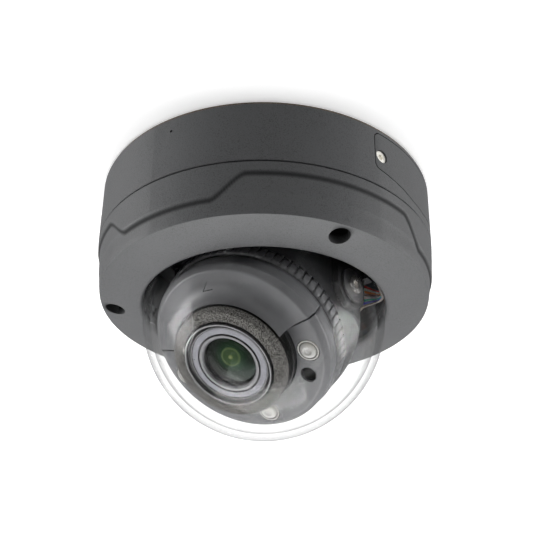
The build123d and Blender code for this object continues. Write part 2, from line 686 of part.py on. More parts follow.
def frame_screws():
    """Screws that hold the main board and the chassis plate to the base."""
    one = Rot(180, 0, 0) * screw(SMALL_HEAD_R, SMALL_HEAD_T, M2_R, BOARD_T + BOARD_SCREW_BITE)
    board_seat = Pos(0, 0, BOARD_UNDER_Z - SMALL_HEAD_T)
    chassis_seat = Pos(0, 0, CHASSIS_UNDER_Z - SMALL_HEAD_T)
    screws = []
    for turn in THIRDS:
        screws.append(board_seat * place(STANDOFF_AZIMUTH + turn, STANDOFF_RING) * one)
        screws.append(chassis_seat * chassis_post(turn) * one)
    return Compound(screws)


def processor():
    """Main chip on the upper side of the board."""
    location = place(PROCESSOR_AZIMUTH, PROCESSOR_RING, BOARD_Z)
    return location * Box(PROCESSOR, PROCESSOR, PROCESSOR_T, align=UPWARDS)


def thermal_pad():
    """Soft pad that carries the chip's heat to the ceiling plate."""
    location = place(PROCESSOR_AZIMUTH, PROCESSOR_RING, BOARD_Z + PROCESSOR_T)
    return location * Box(PROCESSOR, PROCESSOR, BOARD_DEPTH - CEILING_PLATE - PROCESSOR_T, align=UPWARDS)


def board_connectors():
    """Round socket under the board's middle and two plain ones beside it."""
    middle = rod(CENTRE_SOCKET_R, BOARD_UNDER_Z - SOCKET_T, BOARD_UNDER_Z)
    block = Box(*SIDE_SOCKET, SOCKET_T, align=UPWARDS)
    beside = [place(azimuth, SIDE_SOCKET_RING, BOARD_UNDER_Z - SOCKET_T) * block
              for azimuth in (CABLE_AZIMUTH, CABLE_AZIMUTH + 90)]
    return Compound([middle] + beside)


# --- Chassis and pan retainer ---

def chassis_plate():
    """Plate on the posts of the base that carries the camera."""
    plate = rod(RETAINER_R, CHASSIS_UNDER_Z, CHASSIS_Z)
    for turn in THIRDS:
        plate += chassis_post(turn) * rod(CHASSIS_LUG_R, CHASSIS_UNDER_Z, CHASSIS_Z)
        plate -= chassis_post(turn) * rod(M2_R + SEAT, CHASSIS_UNDER_Z, CHASSIS_Z)
    plate -= rod(CHASSIS_BORE_R, CHASSIS_UNDER_Z, CHASSIS_Z)
    for turn in THIRDS:
        hole = rod(RETAINER_SCREW_R + THREAD_GAP, CHASSIS_UNDER_Z, CHASSIS_Z)
        plate -= place(COVER_SCREW_AZIMUTH + turn, RETAINER_SCREW_RING) * hole
    return plate


def pan_retainer():
    """Ring under the chassis plate whose lip carries the pan flange."""
    body = turned((RETAINER_INNER_R, CHASSIS_UNDER_Z), (RETAINER_R, CHASSIS_UNDER_Z),
                  (RETAINER_R, RETAINER_UNDER_Z), (RETAINER_LIP_R, RETAINER_UNDER_Z),
                  (RETAINER_LIP_R, RETAINER_TOP_Z), (RETAINER_INNER_R, RETAINER_TOP_Z))
    for turn in THIRDS:
        body -= chassis_post(turn) * rod(SMALL_HEAD_R + SEAT, RETAINER_UNDER_Z, CHASSIS_UNDER_Z)
        hole = rod(RETAINER_SCREW_R + SEAT, RETAINER_UNDER_Z, CHASSIS_UNDER_Z)
        body -= place(COVER_SCREW_AZIMUTH + turn, RETAINER_SCREW_RING) * hole
    return body


def retainer_screws():
    """Screws that hold the pan retainer to the chassis plate."""
    length = CHASSIS_Z - RETAINER_UNDER_Z - SEAT
    one = Rot(180, 0, 0) * screw(RETAINER_HEAD_R, SMALL_HEAD_T, RETAINER_SCREW_R, length)
    height = RETAINER_UNDER_Z - SMALL_HEAD_T
    return Compound([place(COVER_SCREW_AZIMUTH + turn, RETAINER_SCREW_RING, height) * one for turn in THIRDS])


# --- Dome cover ---

def step_cutter():
    """What the zig-zag step takes off the cover's wall."""
    low = OPENING_DEPTH + COVER_FLOOR
    inner_top = HOUSING_R - COVER_DRAFT - STEP_DEPTH
    inner_low = HOUSING_R - COVER_EDGE_INSET
    between = (COVER_DRAFT_DEPTH + COVER_EDGE_DEPTH) / 2
    inner = turned((0, -STEP_HIGH), (inner_top + COVER_DRAFT / 2, -STEP_HIGH),
                   (inner_top, -COVER_DRAFT_DEPTH), (inner_top - STEP_DEPTH / 2, -between),
                   (inner_low, -COVER_EDGE_DEPTH), (inner_low, -low), (0, -low))
    cutter = rod(HOUSING_R + BASE_WALL, -low, -STEP_HIGH) - inner
    for start, end in LOW_STRETCHES:
        land = [(start - STEP_SLOPE, STEP_HIGH - STEP_DEPTH), (end + STEP_SLOPE, STEP_HIGH - STEP_DEPTH),
                (end, STEP_LOW), (start, STEP_LOW)]
        cutter -= wall_patch(land, COVER_INNER_R, HOUSING_R + 2 * BASE_WALL)
    return cutter


def cover_envelope():
    """Outside of the dome cover as a full solid, without its opening."""
    return turned((0, SEAM_Z + COLUMN_RISE), (REGISTER_R, SEAM_Z + COLUMN_RISE), (REGISTER_R, SEAM_Z),
                  (HOUSING_R - EDGE_CHAMFER, SEAM_Z), (HOUSING_R, SEAM_Z - EDGE_CHAMFER),
                  (HOUSING_R - COVER_DRAFT, -COVER_DRAFT_DEPTH),
                  (HOUSING_R - COVER_EDGE_INSET, -COVER_EDGE_DEPTH), (OPENING_R, OPENING_Z), (0, OPENING_Z))


def dome_cover():
    """Lower cover with the zig-zag step, the dome's seat and the screw wells."""
    ledge_r = DOME_FLANGE_R + RUN
    floor_z = -COVER_EDGE_DEPTH + COVER_FLOOR
    register_low = SEAM_Z - REGISTER_T
    hollow = turned((0, SEAM_Z + COLUMN_RISE), (REGISTER_R, SEAM_Z + COLUMN_RISE),
                    (REGISTER_R, SEAM_Z + REGISTER_RISE), (REGISTER_R - REGISTER_T, SEAM_Z + REGISTER_RISE),
                    (REGISTER_R - REGISTER_T, register_low), (COVER_INNER_R, register_low - REGISTER_T),
                    (COVER_INNER_R, floor_z), (DOME_RING_R + RUN, DOME_RING_Z), (ledge_r, DOME_RING_Z),
                    (ledge_r, SEAT_Z), (OPENING_R, SEAT_Z), (OPENING_R, OPENING_Z), (0, OPENING_Z))
    envelope = cover_envelope()
    body = envelope - hollow
    for turn in THIRDS:
        column = rod(COLUMN_R, OPENING_Z, COLUMN_TOP)
        body += place(COVER_SCREW_AZIMUTH + turn, COVER_SCREW_RING) * column & envelope
    body -= step_cutter()
    seal_r = HOUSING_R - SEAL_INSET
    body -= ring(seal_r, seal_r - SEAL_WIDTH, SEAM_Z - SEAL_T, SEAM_Z)
    for turn in THIRDS:
        well = rod(WELL_R, OPENING_Z, OPENING_Z + WELL_DEPTH)
        well += rod(COVER_SCREW_R + SEAT, OPENING_Z, COLUMN_TOP)
        body -= place(COVER_SCREW_AZIMUTH + turn, COVER_SCREW_RING) * well
    thread = rod(M2_R + THREAD_GAP, DOME_RING_Z - BOARD_SCREW_BITE + SEAT, DOME_RING_Z)
    for index in range(DOME_SCREW_COUNT):
        body -= dome_screw_place(index) * thread
    return body


def cover_seal():
    """Rubber ring in the groove of the cover, under the base's wall."""
    seal_r = HOUSING_R - SEAL_INSET
    return ring(seal_r, seal_r - SEAL_WIDTH, SEAM_Z - SEAL_T, SEAM_Z)


def cover_screws():
    """Three captive screws, deep in their wells."""
    head_low = OPENING_Z + WELL_DEPTH - COVER_HEAD_T
    length = COLUMN_TOP + COVER_SCREW_BITE - (OPENING_Z + WELL_DEPTH)
    one = Rot(180, 0, 0) * screw(COVER_HEAD_R, COVER_HEAD_T, COVER_SCREW_R, length)
    return Compound([place(COVER_SCREW_AZIMUTH + turn, COVER_SCREW_RING, head_low) * one for turn in THIRDS])


# --- Clear dome ---

def dome_screw_place(index):
    """Location of one screw of the dome's clamp ring, between the cover's columns."""
    step = 360.0 / DOME_SCREW_COUNT
    return place(COVER_SCREW_AZIMUTH + step / 2 + index * step, DOME_SCREW_RING)


def clear_dome():
    """Clear hemisphere with a short skirt and a clamping flange."""
    flange_top = DOME_FLANGE_Z + DOME_FLANGE_T
    outside = (Pos(0, 0, DOME_Z) * Sphere(DOME_R) & rod(DOME_R, DOME_Z - DOME_R, DOME_Z)) \
        + rod(DOME_R, DOME_Z, flange_top)
    inside = Pos(0, 0, DOME_Z) * Sphere(DOME_INNER_R) + rod(DOME_INNER_R, DOME_Z, flange_top)
    return outside + rod(DOME_FLANGE_R, DOME_FLANGE_Z, flange_top) - inside


def dome_gasket():
    """Seal between the dome's flange and the cover's seat."""
    return ring(OPENING_R + SEAT + DOME_GASKET_WIDTH, OPENING_R + SEAT, SEAT_Z, DOME_FLANGE_Z)


def dome_retainer():
    """Clamp ring that holds the dome's flange down, notched round the columns."""
    body = ring(DOME_RING_R, DOME_RING_INNER_R, DOME_RING_Z, DOME_RING_Z + DOME_RING_T)
    for turn in THIRDS:
        notch = rod(COLUMN_R + RUN, DOME_RING_Z, DOME_RING_Z + DOME_RING_T)
        body -= place(COVER_SCREW_AZIMUTH + turn, COVER_SCREW_RING) * notch
    for index in range(DOME_SCREW_COUNT):
        body -= dome_screw_place(index) * rod(M2_R + SEAT, DOME_RING_Z, DOME_RING_Z + DOME_RING_T)
    return body


def dome_screws():
    """Screws of the dome's clamp ring."""
    one = screw(SMALL_HEAD_R - SEAT, SMALL_HEAD_T, M2_R, DOME_RING_T + BOARD_SCREW_BITE - 2 * SEAT)
    lift = Pos(0, 0, DOME_RING_Z + DOME_RING_T + SMALL_HEAD_T)
    return Compound([dome_screw_place(index) * lift * one for index in range(DOME_SCREW_COUNT)])


# --- Pan body ---

def across(radius, start, end):
    """Cylinder along X, through the ball's centre, in the pan carrier's frame."""
    return Pos(start, 0, BALL_Z) * Rot(0, 90, 0) * Cylinder(radius, end - start, align=UPWARDS)


def pan_bracket():
    """Flange ring with two ears that hold the ball."""
    body = ring(PAN_FLANGE_R, PAN_BORE_R, PAN_UNDER_Z, PAN_TOP_Z)
    middle = (EAR_INNER + EAR_OUTER) / 2
    height = PAN_TOP_Z - BALL_Z
    for side in (1, -1):
        strip = Pos(side * middle, 0, BALL_Z) * Box(EAR_T, 2 * EAR_R, height, align=UPWARDS)
        round_end = Pos(side * middle, 0, BALL_Z) * Rot(0, 90, 0) * Cylinder(EAR_R, EAR_T)
        hole = Pos(side * middle, 0, BALL_Z) * Rot(0, 90, 0) * Cylinder(PIVOT_R + FIT, 2 * EAR_T)
        body = body + strip + round_end - hole
    return in_pan(body)


def wire_height(index):
    """Height of one wire's run round the ball."""
    return BALL_Z + WIRE_SWEEP_RISE - index * WIRE_PITCH


def wire_route(index):
    """Corner points of one wire, from the middle plug to the plug on the ear, in the pan carrier's frame."""
    drop = radians(WIRE_DROP_ANGLE)
    shift = (index - (WIRE_COUNT - 1) / 2) * WIRE_PITCH
    height = wire_height(index)

    def beside(radius, z):
        return (radius * cos(drop) - shift * sin(drop), radius * sin(drop) + shift * cos(drop), z)

    points = [beside(HUB_SIZE[1] / 2, HUB_Z), beside(WIRE_LEVEL_R, HUB_Z)]
    points += [beside(BALL_R - inset, BALL_Z + rise) for inset, rise in WIRE_CLIMB]
    points.append(beside(WIRE_SWEEP_R, height))
    for angle in WIRE_SWEEP_ANGLES:
        points.append((WIRE_SWEEP_R * cos(radians(angle)), WIRE_SWEEP_R * sin(radians(angle)), height))
    plug_x = EAR_INNER + EAR_PLUG[0] / 2
    plug_y = EAR_R + EAR_PLUG[1]
    points.append((plug_x, plug_y + WIRE_RUN_OUT, height))
    points.append((plug_x, plug_y, height))
    return points


def corner_radii(points):
    """Largest bend at each corner that its two runs allow."""
    radii = []
    for before, corner, after in zip(points, points[1:], points[2:]):
        first = Vector(*corner) - Vector(*before)
        second = Vector(*after) - Vector(*corner)
        half = radians(first.get_angle(second) / 2)
        radii.append(WIRE_BEND_SHARE * min(first.length, second.length) / tan(half))
    return radii


def wire(index):
    """One wire of the harness."""
    points = wire_route(index)
    path = FilletPolyline(*points, radius=corner_radii(points))
    start = Plane(origin=points[0], z_dir=Vector(*points[1]) - Vector(*points[0]))
    return sweep(start * Circle(WIRE_R), path=path)


def wire_harness():
    """Wires from the main board to the ball, carried round by the pan bracket."""
    return in_pan(Compound([wire(index) for index in range(WIRE_COUNT)]))


def harness_plugs():
    """Plug on the pan axis under the main board, and the plug on the ear's rear edge."""
    width, depth, thickness = HUB_SIZE
    hub = Pos(0, 0, HUB_Z) * Rot(0, 0, WIRE_DROP_ANGLE) * Box(depth, width, thickness)
    height = (WIRE_COUNT - 1) * WIRE_PITCH + 2 * WIRE_R + 2 * EAR_PLUG_MARGIN
    middle = (wire_height(0) + wire_height(WIRE_COUNT - 1)) / 2
    plug = Pos(EAR_INNER + EAR_PLUG[0] / 2, EAR_R + EAR_PLUG[1] / 2, middle) * Box(*EAR_PLUG, height)
    return in_pan(Compound([hub, plug]))


# --- Tilt body ---

def rear_shell():
    """Rear half of the ball, with the hooked lip that holds the lens module and the two pivots."""
    outer = Sphere(BALL_R)
    inner = Sphere(BALL_R - SHELL_WALL)
    band = ring(BALL_R, SHELL_BORE_R, SHELL_LIP_BACK + SHELL_LIP_T, SHELL_FRONT)
    lip = ring(BALL_R, SHELL_LIP_R, SHELL_LIP_BACK, SHELL_LIP_BACK + SHELL_LIP_T)
    slab = rod(BALL_R, SHELL_BACK, SHELL_FRONT)
    body = ((outer - inner) + ((band + lip) & outer)) & slab
    for side in (1, -1):
        start = BALL_R - SHELL_WALL / 2
        turn = Rot(0, 90 * side, 0)
        boss = rod(PIVOT_COLLAR_R, start, EAR_INNER - FIT) + rod(PIVOT_R, start, WASHER_SEAT)
        body = body + turn * boss - turn * rod(M2_R + THREAD_GAP, BALL_R - 2 * SHELL_WALL, WASHER_SEAT)
    return in_ball(body)


def tilt_washers():
    """Friction washers outside the ears."""
    washer = ring(WASHER_R, M2_R + SEAT, WASHER_SEAT, WASHER_SEAT + WASHER_T)
    return in_ball(Compound([Rot(0, 90 * side, 0) * washer for side in (1, -1)]))


def tilt_screws():
    """Screws on the tilt axis."""
    one = screw(TILT_HEAD_R, TILT_HEAD_T, M2_R, WASHER_SEAT + WASHER_T - BALL_R + SHELL_WALL)
    lift = Pos(0, 0, WASHER_SEAT + WASHER_T + TILT_HEAD_T)
    return in_ball(Compound([Rot(0, 90 * side, 0) * lift * one for side in (1, -1)]))


# --- Lens module ---

def knurled_ring():
    """Grip ring of the lens module, with the spigot that turns in the rear shell."""
    body = turned((SPIGOT_INNER_R, SPIGOT_END), (SPIGOT_R, SPIGOT_END), (SPIGOT_R, KNURL_BACK),
                  (KNURL_R, KNURL_BACK), (KNURL_R - SEAT, KNURL_FRONT), (BAND_R - SEAT, KNURL_FRONT),
                  (BAND_R - SEAT, BAND_BACK),
                  (BAND_R + SEAT / 2, BAND_BACK), (BAND_R, BAND_FRONT), (BAND_INNER_R, BAND_FRONT),
                  (BAND_INNER_R, SHELF_FRONT), (SPIGOT_INNER_R, SHELF_FRONT))
    width, depth = KNURL_GROOVE
    groove = Pos(KNURL_R, 0, (KNURL_FRONT + KNURL_BACK) / 2) * Box(2 * depth, width, KNURL_FRONT - KNURL_BACK)
    grooves = [Rot(0, 0, 360.0 * index / KNURL_GROOVES) * groove for index in range(KNURL_GROOVES)]
    return in_module(body - grooves)


def roll_retainer():
    """Ring that hooks behind the rear shell's lip."""
    back = RETAINER_FRONT - RETAINER_T
    return in_module(turned((SPIGOT_INNER_R, SPIGOT_END), (RETAINER_NECK_R, SPIGOT_END),
                            (RETAINER_NECK_R, RETAINER_FRONT), (SPIGOT_R, RETAINER_FRONT), (SPIGOT_R, back),
                            (SPIGOT_INNER_R, back)))


def ir_panel():
    """Flat lower front panel with the holes for the lamps and the light sensor."""
    back = FACE_FRONT - FACE_T
    inner_rim = FACE_R - FACE_RIM_INSET
    face = Plane.XZ * make_face(Polyline(
        (PANEL_INNER_R, back), (PANEL_INNER_R, FACE_FRONT), (FACE_R, FACE_FRONT), (BAND_R, FACE_EDGE),
        (BAND_R, BAND_FRONT), (inner_rim, BAND_FRONT), (inner_rim, back), close=True))
    body = sector(face, 90 + HOOD_HALF + PANEL_GAP, 450 - HOOD_HALF - PANEL_GAP)
    for angle in LED_ANGLES:
        body -= around(angle, LED_RING) * rod(LED_R + LED_HOLE_GAP, back, FACE_FRONT)
    body -= around(SENSOR_ANGLE, LED_RING) * rod(SENSOR_WINDOW_R + LED_HOLE_GAP, back, FACE_FRONT)
    return in_module(body)


def hood():
    """Upper front cover that flares up to the foam collar."""
    lip_r = PANEL_INNER_R + HOOD_LIP
    flare = HOOD_TOP - FACE_FRONT
    back = FACE_FRONT - FACE_T
    inner_rim = FACE_R - FACE_RIM_INSET
    foot_r = lip_r + flare
    outline = Polyline((lip_r, HOOD_TOP), (PANEL_INNER_R, HOOD_TOP), (PANEL_INNER_R, back), (inner_rim, back),
                       (inner_rim, BAND_FRONT), (BAND_R, BAND_FRONT), (BAND_R, FACE_EDGE),
                       (FACE_R, FACE_FRONT), (foot_r, FACE_FRONT))
    sweep_in = RadiusArc((foot_r, FACE_FRONT), (lip_r, HOOD_TOP), flare)
    face = Plane.XZ * make_face([outline, sweep_in])
    return in_module(sector(face, 90 - HOOD_HALF + PANEL_GAP, 90 + HOOD_HALF - PANEL_GAP))


def foam_ring():
    """Foam collar round the lens."""
    return in_module(turned((FOAM_INNER_R, COLLAR_FRONT), (FOAM_OUTER_R, COLLAR_FRONT),
                            (FOAM_OUTER_R, FOAM_FRONT - FOAM_ROUND), (FOAM_OUTER_R - FOAM_ROUND, FOAM_FRONT),
                            (FOAM_INNER_R + FOAM_ROUND, FOAM_FRONT), (FOAM_INNER_R, FOAM_FRONT - FOAM_ROUND)))


def module_frame():
    """Frame on the shelf of the grip ring, with the foam's collar and the posts of the lamp board."""
    body = ring(BAND_INNER_R - SEAT, FRAME_BORE_R, SHELF_FRONT, FRAME_FRONT)
    body += ring(COLLAR_R, COLLAR_INNER_R, FRAME_FRONT, COLLAR_FRONT)
    for angle in FRAME_POST_ANGLES:
        body += around(angle, LED_RING) * rod(FRAME_POST_R, FRAME_FRONT, LED_BOARD_BACK)
    return in_module(body)


def led_board():
    """Ring board for the lamps and the light sensor."""
    return in_module(ring(BAND_INNER_R - 2 * SEAT, PANEL_INNER_R, LED_BOARD_BACK, LED_BOARD_FRONT))


def led_chips():
    """Infrared lamps."""
    chip = Box(LED_CHIP, LED_CHIP, LED_CHIP_T, align=UPWARDS)
    return in_module(Compound([around(angle, LED_RING, LED_BOARD_FRONT) * chip for angle in LED_ANGLES]))


def led_lenses():
    """Clear lens over each lamp."""
    cap_r = (LED_R ** 2 + LED_PROUD ** 2) / (2 * LED_PROUD)
    top = FACE_FRONT + LED_PROUD
    cap = Pos(0, 0, top - cap_r) * Sphere(cap_r) & rod(LED_R, FACE_FRONT, top)
    body = rod(LED_R, LED_BOARD_FRONT, FACE_FRONT) + cap
    body += rod(LED_R + LED_FOOT, LED_BOARD_FRONT, LED_BOARD_FRONT + LED_FOOT_T)
    pocket = LED_CHIP + 2 * SEAT
    body -= Pos(0, 0, LED_BOARD_FRONT) * Box(pocket, pocket, LED_CHIP_T + SEAT, align=UPWARDS)
    return in_module(Compound([around(angle, LED_RING) * body for angle in LED_ANGLES]))


def light_sensor():
    """Dark window of the light sensor."""
    window = rod(SENSOR_WINDOW_R, LED_BOARD_FRONT, FACE_FRONT - SENSOR_SUNK)
    return in_module(around(SENSOR_ANGLE, LED_RING) * window)


# --- Lens ---

def gear(teeth, bore_r, low, high):
    """Spur gear about Z with straight-flanked teeth, the first of them along X."""
    pitch_r = GEAR_MODULE * teeth / 2
    tip_r = pitch_r + TOOTH_TIP * GEAR_MODULE
    root_r = pitch_r - TOOTH_ROOT * GEAR_MODULE
    half = TOOTH_HALF * GEAR_MODULE
    base_half = half + TOOTH_SLANT * (pitch_r - root_r)
    tip_half = half - TOOTH_SLANT * (tip_r - pitch_r)
    sunk_r = sqrt(root_r ** 2 - base_half ** 2) - FIT
    outline = Polyline((sunk_r, -base_half), (root_r, -base_half), (tip_r, -tip_half), (tip_r, tip_half),
                       (root_r, base_half), (sunk_r, base_half), close=True)
    tooth = extrude(make_face(outline), high - low)
    body = rod(root_r, low, high)
    body += [Rot(0, 0, 360.0 * index / teeth) * Pos(0, 0, low) * tooth for index in range(teeth)]
    return body - rod(bore_r, low, high) if bore_r else body


def lens_body():
    """Lens tube with its mounting flange, the shoulders of its rings and the plate of its motors."""
    plate_back, plate_front = MOTOR_PLATE
    body = ring(LENS_FLANGE_R, LENS_BORE_R, FRAME_FRONT, LENS_FLANGE_FRONT)
    body += rod(SHOULDER_R, RING_SHOULDER, FRAME_FRONT) + rod(SHOULDER_R, plate_back, plate_front)
    body += rod(SHOULDER_R, LENS_BACK, REAR_SHOULDER)
    body += rod(LENS_TUBE_R, LENS_BACK, LENS_TUBE_FRONT)
    for angle in (FOCUS_MOTOR_ANGLE, ZOOM_MOTOR_ANGLE):
        middle = (plate_back + plate_front) / 2
        arm = Pos(MOTOR_RING / 2, 0, middle) * Box(MOTOR_RING, 2 * MOTOR_R, plate_front - plate_back)
        end = Pos(MOTOR_RING, 0, 0) * rod(MOTOR_R, plate_back, plate_front)
        body += Rot(0, 0, angle) * (arm + end)
        body -= around(angle, MOTOR_RING) * rod(PINION_SHAFT_R + FIT, plate_back, plate_front)
    return in_module(body - rod(LENS_BORE_R, LENS_BACK, LENS_FLANGE_FRONT + LENS_TUBE_FRONT))


def focus_ring():
    """Toothed ring that turns the focus cam."""
    return in_module(gear(RING_TEETH, LENS_TUBE_R + FIT, MOTOR_PLATE[1] + RUN, RING_SHOULDER - RUN))


def zoom_ring():
    """Toothed ring that turns the zoom cam."""
    return in_module(gear(RING_TEETH, LENS_TUBE_R + FIT, REAR_SHOULDER + RUN, MOTOR_PLATE[0] - RUN))


def pinion(angle, gear_low, shaft_low, shaft_high):
    """Motor pinion whose tooth gap faces the lens's axis, with its shaft."""
    half_tooth = 180.0 / PINION_TEETH
    wheel = Rot(0, 0, 180 + half_tooth) * gear(PINION_TEETH, 0, gear_low, gear_low + PINION_T)
    return in_module(around(angle, MOTOR_RING) * (wheel + rod(PINION_SHAFT_R, shaft_low, shaft_high)))


def focus_pinion():
    """Pinion in front of the motor plate."""
    low = MOTOR_PLATE[1] + 2 * RUN
    return pinion(FOCUS_MOTOR_ANGLE, low, MOTOR_PLATE[0] - SHAFT_SUNK, low + PINION_T)


def zoom_pinion():
    """Pinion behind the motor plate."""
    low = MOTOR_PLATE[0] - 2 * RUN - PINION_T
    return pinion(ZOOM_MOTOR_ANGLE, low, low, MOTOR_PLATE[1] + SHAFT_SUNK)


def lens_motors():
    """Focus motor behind the plate and zoom motor in front of it."""
    plate_back, plate_front = MOTOR_PLATE
    focus = rod(MOTOR_R, MOTOR_BACK, plate_back) - rod(
        PINION_SHAFT_R + FIT, plate_back - SHAFT_SUNK - RUN, plate_back)
    zoom = rod(MOTOR_R, plate_front, MOTOR_FRONT) - rod(
        PINION_SHAFT_R + FIT, plate_front, plate_front + SHAFT_SUNK + RUN)
    return in_module(Compound([around(FOCUS_MOTOR_ANGLE, MOTOR_RING) * focus,
                               around(ZOOM_MOTOR_ANGLE, MOTOR_RING) * zoom]))


def lens_barrel():
    """Front barrel that screws over the lens tube."""
    bore_r = LENS_TUBE_R + SEAT
    rim_r = BARREL_R - BARREL_RIM
    slope_low = NAME_RING_FRONT - BARREL_RIM
    return in_module(turned((bore_r, LENS_FLANGE_FRONT), (BARREL_NECK_R, LENS_FLANGE_FRONT),
                            (BARREL_NECK_R, BARREL_STEP), (BARREL_R, BARREL_STEP + BARREL_R - BARREL_NECK_R),
                            (BARREL_R, BARREL_FRONT - EDGE_CHAMFER), (BARREL_R - EDGE_CHAMFER, BARREL_FRONT),
                            (rim_r, BARREL_FRONT), (rim_r, NAME_RING_FRONT), (NAME_RING_R + FIT, slope_low),
                            (NAME_RING_R + FIT, BARREL_SEAT), (bore_r, BARREL_SEAT)))


def name_ring():
    """Stepped ring that holds the front glass."""
    flange_r = GLASS_R + GLASS_FLANGE + FIT
    face = NAME_RING_FRONT - EDGE_CHAMFER
    groove_r = flange_r + EDGE_CHAMFER
    groove = face - BARREL_RIM
    return in_module(turned((flange_r, BARREL_SEAT), (NAME_RING_R, BARREL_SEAT),
                            (NAME_RING_R, NAME_RING_FRONT), (NAME_RING_R - EDGE_CHAMFER, NAME_RING_FRONT),
                            (NAME_RING_R - 2 * EDGE_CHAMFER, face), (groove_r + 2 * EDGE_CHAMFER, face),
                            (groove_r + EDGE_CHAMFER, groove), (groove_r, groove), (groove_r, face),
                            (GLASS_R + EDGE_CHAMFER, face), (GLASS_R, groove), (GLASS_R, GLASS_SHOULDER),
                            (flange_r, GLASS_SHOULDER)))


def front_lens():
    """Convex front glass with its clamped flange."""
    edge_r = GLASS_R - FIT
    flange_r = GLASS_R + GLASS_FLANGE
    front = GLASS_SHOULDER - FIT
    outline = Polyline((edge_r, GLASS_SHOULDER), (edge_r, front), (flange_r, front), (flange_r, BARREL_SEAT),
                       (0, GLASS_BACK), (0, GLASS_FRONT))
    dome = ThreePointArc((0, GLASS_FRONT), lens_arc_middle(edge_r), (edge_r, GLASS_SHOULDER))
    return in_module(revolve(Plane.XZ * make_face([outline, dome]), Axis.Z))


def lens_arc_middle(edge_r):
    """Point half way round the front glass's arc."""
    rise = GLASS_FRONT - GLASS_SHOULDER
    curve_r = (edge_r ** 2 + rise ** 2) / (2 * rise)
    angle = asin(edge_r / curve_r) / 2
    return (curve_r * sin(angle), GLASS_FRONT - curve_r * (1 - cos(angle)))


def inner_lenses():
    """Two inner glass groups."""
    radius = LENS_BORE_R - THREAD_GAP
    groups = []
    for back, front in INNER_LENSES:
        bulge = (front - back) * INNER_BULGE
        groups.append(turned((0, back), (radius, back + bulge), (radius, front - bulge), (0, front)))
    return in_module(Compound(groups))


def aperture_plate():
    """Black plate with the lens's aperture."""
    outer = LENS_BORE_R - THREAD_GAP
    return in_module(ring(outer, APERTURE_R, LENS_TUBE_FRONT - APERTURE_T, LENS_TUBE_FRONT))


def sensor_corners():
    """Locations of the four screws of the sensor board."""
    half = SENSOR_SCREW_SPACING / 2
    return [Pos(x, y, 0) for x in (-half, half) for y in (-half, half)]


def lens_mount():
    """Block between the lens and the sensor board."""
    body = Pos(0, 0, MOUNT_BACK) * Box(LENS_MOUNT, LENS_MOUNT, LENS_MOUNT_T, align=UPWARDS)
    body -= rod(LENS_MOUNT_BORE_R, MOUNT_BACK, LENS_BACK)
    for corner in sensor_corners():
        body -= corner * rod(M2_R + THREAD_GAP, MOUNT_BACK, MOUNT_BACK + BOARD_SCREW_BITE + SEAT)
    return in_module(body)


def sensor_board():
    """Board behind the lens that carries the image sensor."""
    width, height = SENSOR_BOARD
    body = Pos(0, 0, MOUNT_BACK - SENSOR_BOARD_T) * Box(width, height, SENSOR_BOARD_T, align=UPWARDS)
    for corner in sensor_corners():
        body -= corner * rod(M2_R + SEAT, MOUNT_BACK - SENSOR_BOARD_T, MOUNT_BACK)
    return in_module(body)


def image_sensor():
    """Image sensor on its board, inside the lens mount."""
    return in_module(Pos(0, 0, MOUNT_BACK) * Box(*IMAGE_SENSOR, align=UPWARDS))


def sensor_screws():
    """Screws that hold the sensor board to the lens mount."""
    one = Rot(180, 0, 0) * screw(SMALL_HEAD_R, SMALL_HEAD_T, M2_R, SENSOR_BOARD_T + BOARD_SCREW_BITE)
    lift = Pos(0, 0, MOUNT_BACK - SENSOR_BOARD_T - SMALL_HEAD_T)
    return in_module(Compound([corner * lift * one for corner in sensor_corners()]))


NODES = (
    base_housing, mounting_gasket, cable_grommet, service_cover, service_cover_gasket, service_cover_screws,
    card_board, board_link, card_socket, memory_card, reset_switch, reset_button, mic_seal, microphone,
    main_board, frame_screws, processor, thermal_pad, board_connectors, chassis_plate, pan_retainer,
    retainer_screws, dome_cover, cover_seal, cover_screws, clear_dome, dome_gasket, dome_retainer,
    dome_screws, pan_bracket, wire_harness, harness_plugs, rear_shell, tilt_washers, tilt_screws,
    knurled_ring, roll_retainer, ir_panel, hood, foam_ring, module_frame, led_board, led_chips, led_lenses,
    light_sensor, lens_body, focus_ring, zoom_ring, focus_pinion, zoom_pinion, lens_motors, lens_barrel,
    name_ring, front_lens, inner_lenses, aperture_plate, lens_mount, sensor_board, image_sensor,
    sensor_screws,
)

os.makedirs("parts", exist_ok=True)
for make in NODES:
    save(make.__name__, make())

routes = [corner_radii(wire_route(index)) for index in range(WIRE_COUNT)]
print("tightest bend of each wire, mm:", [round(min(radii), 1) for radii in routes])
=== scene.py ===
import json
import math

import bmesh
import bpy
from bpy.props import FloatProperty, FloatVectorProperty, IntProperty, PointerProperty
from mathutils import Matrix, Vector, noise


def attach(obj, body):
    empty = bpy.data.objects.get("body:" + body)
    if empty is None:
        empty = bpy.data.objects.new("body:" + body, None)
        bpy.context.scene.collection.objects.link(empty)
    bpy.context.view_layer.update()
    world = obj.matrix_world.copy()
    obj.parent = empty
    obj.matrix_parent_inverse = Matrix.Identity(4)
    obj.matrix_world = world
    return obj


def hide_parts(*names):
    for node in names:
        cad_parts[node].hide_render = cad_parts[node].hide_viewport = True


bl_info = {
    "name": "Dome Camera Dressing",
    "version": (1, 0, 0),
    "blender": (4, 5, 0),
    "location": "View3D > Sidebar > Dome Camera",
    "description": "Fine shapes, finishes and a studio round the packed dome camera",
    "category": "Object",
}

